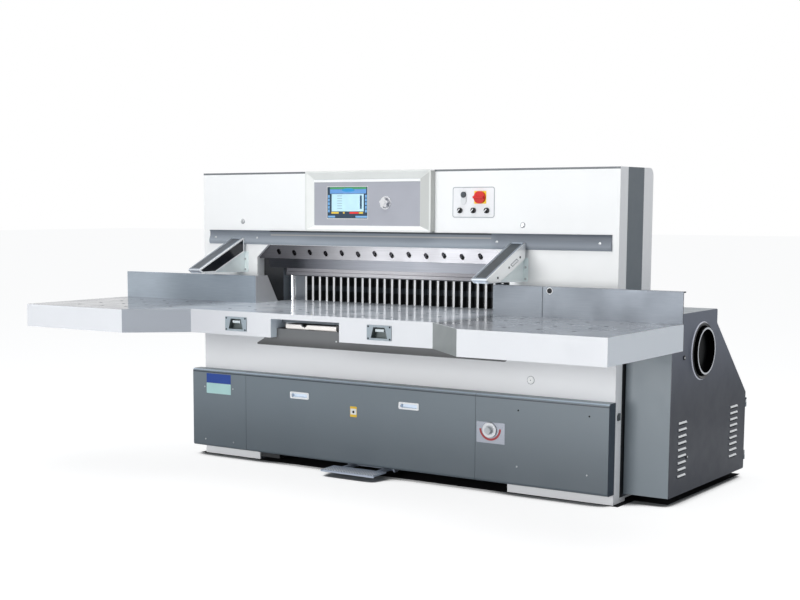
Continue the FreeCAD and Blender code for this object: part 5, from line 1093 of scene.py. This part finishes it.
# The right strip is a darker copy of the same paint: painted shade.
strip_dark = powder_coat("right_arm_strip", linear(44, 52, 58), 0.45, 0.93)
for name, x, finish in (("left_arm_strip", -1010.5, strip_grey), ("right_arm_strip", 753.5, strip_dark)):
    cut_sheet(name, [strip_outline], 1.2, on_slope(x), finish, edge=0.3)
slot_white = moulded("arm_slot_plastic", linear(248, 249, 250), 0.35)
slot_line = moulded("arm_slot_edge", linear(72, 79, 86), 0.35)
slot_edge = [(-166, 1141), (-146, 1130), (-87, 1156), (-106, 1168)]
slot = [(-162, 1141), (-146, 1133), (-91, 1156), (-106, 1165)]
cut_sheet("arm_slot_edge", [slot_edge], 0.3, on_right(795), slot_line)
cut_sheet("arm_slot", [slot], 0.6, on_right(795), slot_white)
cut_sheet("opening_lining", [rounded(3, 17, 901, 1133, 1)], 0.3, on_right(-888), rim_white)
print("windows done, slope", round(math.degrees(SLOPE), 1))

# %% [markdown]
# Round shapes
#
# Screws, air valves, pressed buttons, plugs and caps are all round. Each is a stack of rings, every one
# with a radius and a height, and walls between them. Two helpers build the stack and close it.

# %% Rings and walls


def ring_walls(mesh, rings, sides):
    """Rings of (radius, height) in metres, the walls between them and a floor; gives the rings."""
    loops = []
    angles = [math.tau * i / sides for i in range(sides)]
    for radius, height in rings:
        loops.append([mesh.verts.new((radius * math.cos(a), radius * math.sin(a), height)) for a in angles])
    for low, high in zip(loops, loops[1:]):
        for i in range(sides):
            mesh.faces.new((low[i], low[(i + 1) % sides], high[(i + 1) % sides], high[i]))
    mesh.faces.new(list(reversed(loops[0])))
    return loops


def closed_mesh(name, mesh):
    """Turn all faces outwards and give the finished mesh data."""
    bmesh.ops.recalc_face_normals(mesh, faces=mesh.faces)
    data = bpy.data.meshes.new(name)
    mesh.to_mesh(data)
    mesh.free()
    return data


def ringed(name, rings, sides):
    """A closed shape from rings of (radius, height) in metres."""
    mesh = bmesh.new()
    mesh.faces.new(ring_walls(mesh, rings, sides)[-1])
    return closed_mesh(name, mesh)


def template(name, data):
    """An object that only lends its shape to a node tree."""
    piece = bpy.data.objects.new(name, data)
    scene.collection.objects.link(piece)
    return piece


print("ring helpers ready")

# %% [markdown]
# Screws
#
# Covers, trim and plates are held by small cross-head screws. One head is modelled once, with a low dome
# and a real cross recess, and a node tree sets copies of it on given points.

# %% One screw head
CROSS_WIDE = 0.16
CROSS_LONG = 0.5
RECESS_NARROWING = 0.85
RECESS_FLOOR = 0.35


def screw_head(radius, height):
    """A low domed head with a cross recess, its back on the XY plane, facing +Z."""
    mesh = bmesh.new()
    shares = ((1.0, 0.0), (1.0, 0.35), (0.9, 0.75), (0.72, 1.0))
    loops = ring_walls(mesh, [(radius * across, height * up) for across, up in shares], 16)
    wide = radius * CROSS_WIDE
    long = radius * CROSS_LONG
    cross = ((wide, long), (-wide, long), (-wide, wide), (-long, wide), (-long, -wide), (-wide, -wide))
    cross += ((-wide, -long), (wide, -long), (wide, -wide), (long, -wide), (long, wide), (wide, wide))
    top = [mesh.verts.new((x, y, height)) for x, y in cross]
    floor_level = height * RECESS_FLOOR
    narrowed = [(x * RECESS_NARROWING, y * RECESS_NARROWING) for x, y in cross]
    deep = [mesh.verts.new((x, y, floor_level)) for x, y in narrowed]
    edges = []
    for ring in (loops[-1], top):
        for first, second in zip(ring, ring[1:] + ring[:1]):
            edges.append(mesh.edges.get((first, second)) or mesh.edges.new((first, second)))
    bmesh.ops.triangle_fill(mesh, edges=edges, use_beauty=True, normal=(0, 0, 1))
    corners = len(cross)
    for i in range(corners):
        mesh.faces.new((top[i], top[(i + 1) % corners], deep[(i + 1) % corners], deep[i]))
    mesh.faces.new(deep)
    return closed_mesh("screw_head", mesh)


screw = template("screw_template", screw_head(0.0055, 0.0024))
print("screw head faces", len(screw.data.polygons))

# %% [markdown]
# Copies by node trees
#
# Two node trees set copies: one on loose points, and one on a grid. What they share is written once.
# Both take the shape and the finish as inputs, make the copies real and give them the finish.

# %% What both trees share


def geometry_tree(name, inputs):
    """An empty geometry tree with named inputs and one output, plus its two end nodes."""
    tree = bpy.data.node_groups.new(name, "GeometryNodeTree")
    for label, kind in inputs:
        tree.interface.new_socket(name=label, in_out="INPUT", socket_type="NodeSocket" + kind)
    tree.interface.new_socket(name="Copies", in_out="OUTPUT", socket_type="NodeSocketGeometry")
    return tree, tree.nodes.new("NodeGroupInput"), tree.nodes.new("NodeGroupOutput")


def copied(tree, source, sink, points):
    """Put the shape on points, make it real and give it the finish; gives the node that copies."""
    shape = tree.nodes.new("GeometryNodeObjectInfo")
    shape.inputs["As Instance"].default_value = True
    copies = tree.nodes.new("GeometryNodeInstanceOnPoints")
    real = tree.nodes.new("GeometryNodeRealizeInstances")
    finish = tree.nodes.new("GeometryNodeSetMaterial")
    link = tree.links.new
    link(source.outputs["Shape"], shape.inputs["Object"])
    link(points, copies.inputs["Points"])
    link(shape.outputs["Geometry"], copies.inputs["Instance"])
    link(copies.outputs["Instances"], real.inputs["Geometry"])
    link(real.outputs["Geometry"], finish.inputs["Geometry"])
    link(source.outputs["Finish"], finish.inputs["Material"])
    link(finish.outputs["Geometry"], sink.inputs["Copies"])
    return copies


print("tree helpers ready")

# %% [markdown]
# Running a tree
#
# A tree is run on a start mesh and the plain result is kept. The tree itself isn't handed over, since
# only plain meshes travel to other programs.

# %% Keep what a tree makes


def grown(name, start, group, values, body):
    """Run a tree on a start mesh with its inputs set by name, and let the result ride on a body."""
    carrier = bpy.data.objects.new(name + "_carrier", start)
    scene.collection.objects.link(carrier)
    modifier = carrier.modifiers.new("copies", "NODES")
    modifier.node_group = group
    for item in group.interface.items_tree:
        if item.item_type == "SOCKET" and item.in_out == "INPUT" and item.name in values:
            modifier[item.identifier] = values[item.name]
    bpy.context.view_layer.update()
    graph = bpy.context.evaluated_depsgraph_get()
    mesh = bpy.data.meshes.new_from_object(carrier.evaluated_get(graph))
    mesh.name = name
    for attribute in [a for a in mesh.attributes if a.name == "turn"]:
        mesh.attributes.remove(attribute)
    carrier.modifiers.clear()
    bpy.data.objects.remove(carrier)
    piece = bpy.data.objects.new(name, mesh)
    scene.collection.objects.link(piece)
    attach(piece, body)


print("trees can be run")

# %% [markdown]
# Copies on points
#
# Each point carries the turn that lays the head on its own face, and a spin so that no two slots line
# up, since a fitter leaves them at odd angles too.

# %% The tree for points
point_inputs = (("Points", "Geometry"), ("Shape", "Object"), ("Size", "Float"), ("Finish", "Material"))
set_fasteners, source, sink = geometry_tree("set_fasteners", point_inputs)
copies = copied(set_fasteners, source, sink, source.outputs["Points"])
turn = set_fasteners.nodes.new("GeometryNodeInputNamedAttribute")
turn.data_type = "FLOAT_VECTOR"
turn.inputs["Name"].default_value = "turn"
rotation = set_fasteners.nodes.new("FunctionNodeEulerToRotation")
set_fasteners.links.new(turn.outputs["Attribute"], rotation.inputs["Euler"])
set_fasteners.links.new(rotation.outputs["Rotation"], copies.inputs["Rotation"])
set_fasteners.links.new(source.outputs["Size"], copies.inputs["Scale"])
FRONT_TURN = (90, 0, 0)
RIGHT_TURN = (90, 0, 90)
SPIN = 0.7


def fasten(name, points, finish, size, degrees=FRONT_TURN):
    """Screw heads on drawing points of one face."""
    cloud = bpy.data.meshes.new(name + "_points")
    cloud.from_pydata([at(*point) for point in points], [], [])
    turns = cloud.attributes.new("turn", "FLOAT_VECTOR", "POINT")
    face = Euler([math.radians(angle) for angle in degrees]).to_matrix()
    for i, item in enumerate(turns.data):
        item.vector = (face @ Matrix.Rotation(SPIN * i, 3, "Z")).to_euler()
    grown(name, cloud, set_fasteners, {"Shape": screw, "Size": size, "Finish": finish}, "machine")


print("fasteners' nodes", len(set_fasteners.nodes))

# %% [markdown]
# Where the screws sit
#
# The trim has four in a row, the white covers two large ones, the base covers six bright and two dark
# ones, and each button housing four. The right arm, the brackets and the tray have their own.

# %% Set the screws
screw_zinc = brushed("zinc_screw", linear(214, 216, 218), 0.3, (20.0, 20.0, 20.0), 10.0, 0.85)
fasten("trim_screws", [(x, -7.5, 1243) for x in (-1181, -882, 631, 1182)], screw_zinc, 1.3)
fasten("cover_screws", [(-990, 0, 1334), (768, 0, 1327)], screw_zinc, 2.2)
zinc_spots = [(-1217, 93), (-1011, 91), (-1220, 395), (-1012, 395), (794, 148), (1170, 146)]
fasten("base_screws", [(x, -72, z) for x, z in zinc_spots], screw_zinc, 0.8)
fasten("dark_base_screws", [(798, -72, 427), (1177, -72, 430)], blackened, 0.8)
button_spots = [
    (x + dx, -753, 837.5 + dz) for x in (-423.5, 433.5) for dx in (-60, 60) for dz in (-28, 28)
]
fasten("button_screws", button_spots, blackened, 0.8)
bracket_spots = [(-971.5, 1126), (-971.5, 1068), (789, 1123), (789, 1066)]
fasten("bracket_screws", [(x, -3, z) for x, z in bracket_spots], screw_zinc, 1.1)
arm_spots = [(795, -289, 1083), (795, -181, 1127.5), (795, -72, 1173.5)]
fasten("arm_screws", arm_spots, blackened, 1.0, RIGHT_TURN)
fasten("tray_screw", [(154, -700, 777)], screw_zinc, 0.8)
print("screws set")

# %% [markdown]
# Air valves of the tables
#
# Heavy piles of paper glide on air. Small spring-loaded balls sit in the tables in a regular pattern and
# let it out under the paper. A ring and a ball are one small mesh, and a node tree lays them out on a
# grid whose counts and pitches are its inputs.

# %% The tree for grids
grid_inputs = [("Start", "Geometry"), ("Shape", "Object"), ("Count X", "Int"), ("Count Y", "Int")]
grid_inputs += [("Pitch X", "Float"), ("Pitch Y", "Float"), ("Place", "Vector"), ("Finish", "Material")]
grid_of_copies, source, sink = geometry_tree("grid_of_copies", grid_inputs)
grid = grid_of_copies.nodes.new("GeometryNodeMeshGrid")
for axis in "XY":
    count = source.outputs["Count " + axis]
    gaps = worked(grid_of_copies, "SUBTRACT", count, 1.0)
    span = worked(grid_of_copies, "MULTIPLY", gaps, source.outputs["Pitch " + axis])
    grid_of_copies.links.new(span, grid.inputs["Size " + axis])
    grid_of_copies.links.new(count, grid.inputs["Vertices " + axis])
moved = grid_of_copies.nodes.new("GeometryNodeTransform")
grid_of_copies.links.new(grid.outputs["Mesh"], moved.inputs["Geometry"])
grid_of_copies.links.new(source.outputs["Place"], moved.inputs["Translation"])
copied(grid_of_copies, source, sink, moved.outputs["Geometry"])


def copy_grid(name, shape, counts, pitches, centre, finish, body="machine"):
    """A grid of copies round a centre given in drawing millimetres."""
    values = {"Shape": shape, "Finish": finish, "Place": at(*centre)}
    for axis, count, pitch in zip("XY", counts, pitches):
        values["Count " + axis] = count
        values["Pitch " + axis] = pitch / 1000
    grown(name, bpy.data.meshes.new(name + "_start"), grid_of_copies, values, body)


print("grid's nodes", len(grid_of_copies.nodes))

# %% [markdown]
# Laying the valves
#
# The valve's rings are its seat and its ball, which stands only a hair out of the table. Each table has
# its own pitch, and the rear table has the most valves.

# %% Lay the valves
TABLE_TOP = 900
seat = ((0.0095, 0.0), (0.0092, 0.00025), (0.007, 0.00025), (0.0066, 0.00002), (0.0042, 0.00002))
ball = ((0.0034, 0.00016), (0.0015, 0.00022))
valve = template("valve_template", ringed("air_valve", seat + ball, 14))
valve_steel = moulded("valve_seat", linear(46, 50, 56), 0.6)
dulled(valve_steel, 0.05)
valve_grids = (
    ("left_valves", (4, 4), (169, 160), (-1184, -590)),
    ("right_valves", (4, 4), (165.5, 157), (1196.5, -564.5)),
    ("middle_valves", (8, 4), (165, 158), (0, -374)),
    ("rear_valves", (8, 7), (165, 165), (0, 950)),
)
for name, counts, pitches, centre in valve_grids:
    copy_grid(name, valve, counts, pitches, centre + (TABLE_TOP,), valve_steel)
print("valve grids", len(valve_grids))

# %% [markdown]
# The treadle's grip
#
# The pedal's tread plate has raised buttons pressed into it so that a shoe does not slip. The same grid
# tree lays them out, and they ride on the pedal.

# %% Pressed buttons
button_rings = ((0.0045, -0.002), (0.004, 0.0006), (0.0022, 0.0012))
button = template("button_template", ringed("grip_button", button_rings, 8))
copy_grid("tread_buttons", button, (19, 6), (17, 18), (-130, -151, 38.4), pin_coat, "pedal")
print("tread buttons set")

# %% [markdown]
# Plugs and caps
#
# A black plug closes the hole near the inner end of the right guide, and a large round cap sits low on
# the white cover. Both are turned shapes: an outline spun about its axis. Thin rings outline them.

# %% Turned pieces


def turned(name, profile, place, finish):
    """Spin (distance out, radius) points, in millimetres, about a place's third axis."""
    data = ringed(name, [(radius / 1000, out / 1000) for out, radius in profile], 32)
    data.transform(place)
    data.materials.append(finish)
    for polygon in data.polygons:
        polygon.use_smooth = len(polygon.vertices) == 4
    piece = bpy.data.objects.new(name, data)
    scene.collection.objects.link(piece)
    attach(piece, "machine")


def front_axis(x, y, z):
    """A place on a front face whose third axis points at the operator."""
    return Matrix.Translation(at(x, y, z)) @ Matrix.Rotation(math.pi / 2, 4, "X")


plug_profile = [(0, 12.5), (2.5, 12.5), (3.5, 11), (3.5, 1)]
turned("guide_plug", plug_profile, front_axis(1027, -210, 1026), belt_rubber)
cap_profile = [(0, 18), (2, 18), (3, 16), (2.2, 13), (2.2, 4), (3, 3), (3, 0.5)]
turned("cover_cap", cap_profile, front_axis(826, 0, 571), white_coat)
ring_line = moulded("ring_line_plastic", linear(128, 134, 140), 0.4)
cut_sheet("cap_outline", [circle(826, 571, 20.5), circle(826, 571, 18)], 0.4, on_front(0), ring_line)
cut_sheet("cap_dot", [circle(826, 571, 2.6, 12)], 0.3, on_front(-3), ring_line)
plug_ring = [circle(1027, 1026, 15.5), circle(1027, 1026, 12.6)]
cut_sheet("plug_ring", plug_ring, 0.8, on_front(-210), slot_white)
for name, x, z in (("left_screw_ring", -990, 1334), ("right_screw_ring", 768, 1327)):
    cut_sheet(name, [circle(x, z, 14), circle(x, z, 12.1)], 0.4, on_front(0), ring_line)
clip_grey = moulded("side_clip_plastic", linear(84, 92, 96), 0.4)
clip = [(24, 408), (44, 408), (44, 440), (34, 440), (24, 430)]
cut_sheet("side_clip", [clip], 9.0, on_right(1275), clip_grey, edge=1.5)
print("plugs done")

# %% [markdown]
# Tidy the bench
#
# The templates only lent their shapes and are taken away.

# %% Remove templates
for helper in (screw, valve, button):
    bpy.data.objects.remove(helper)
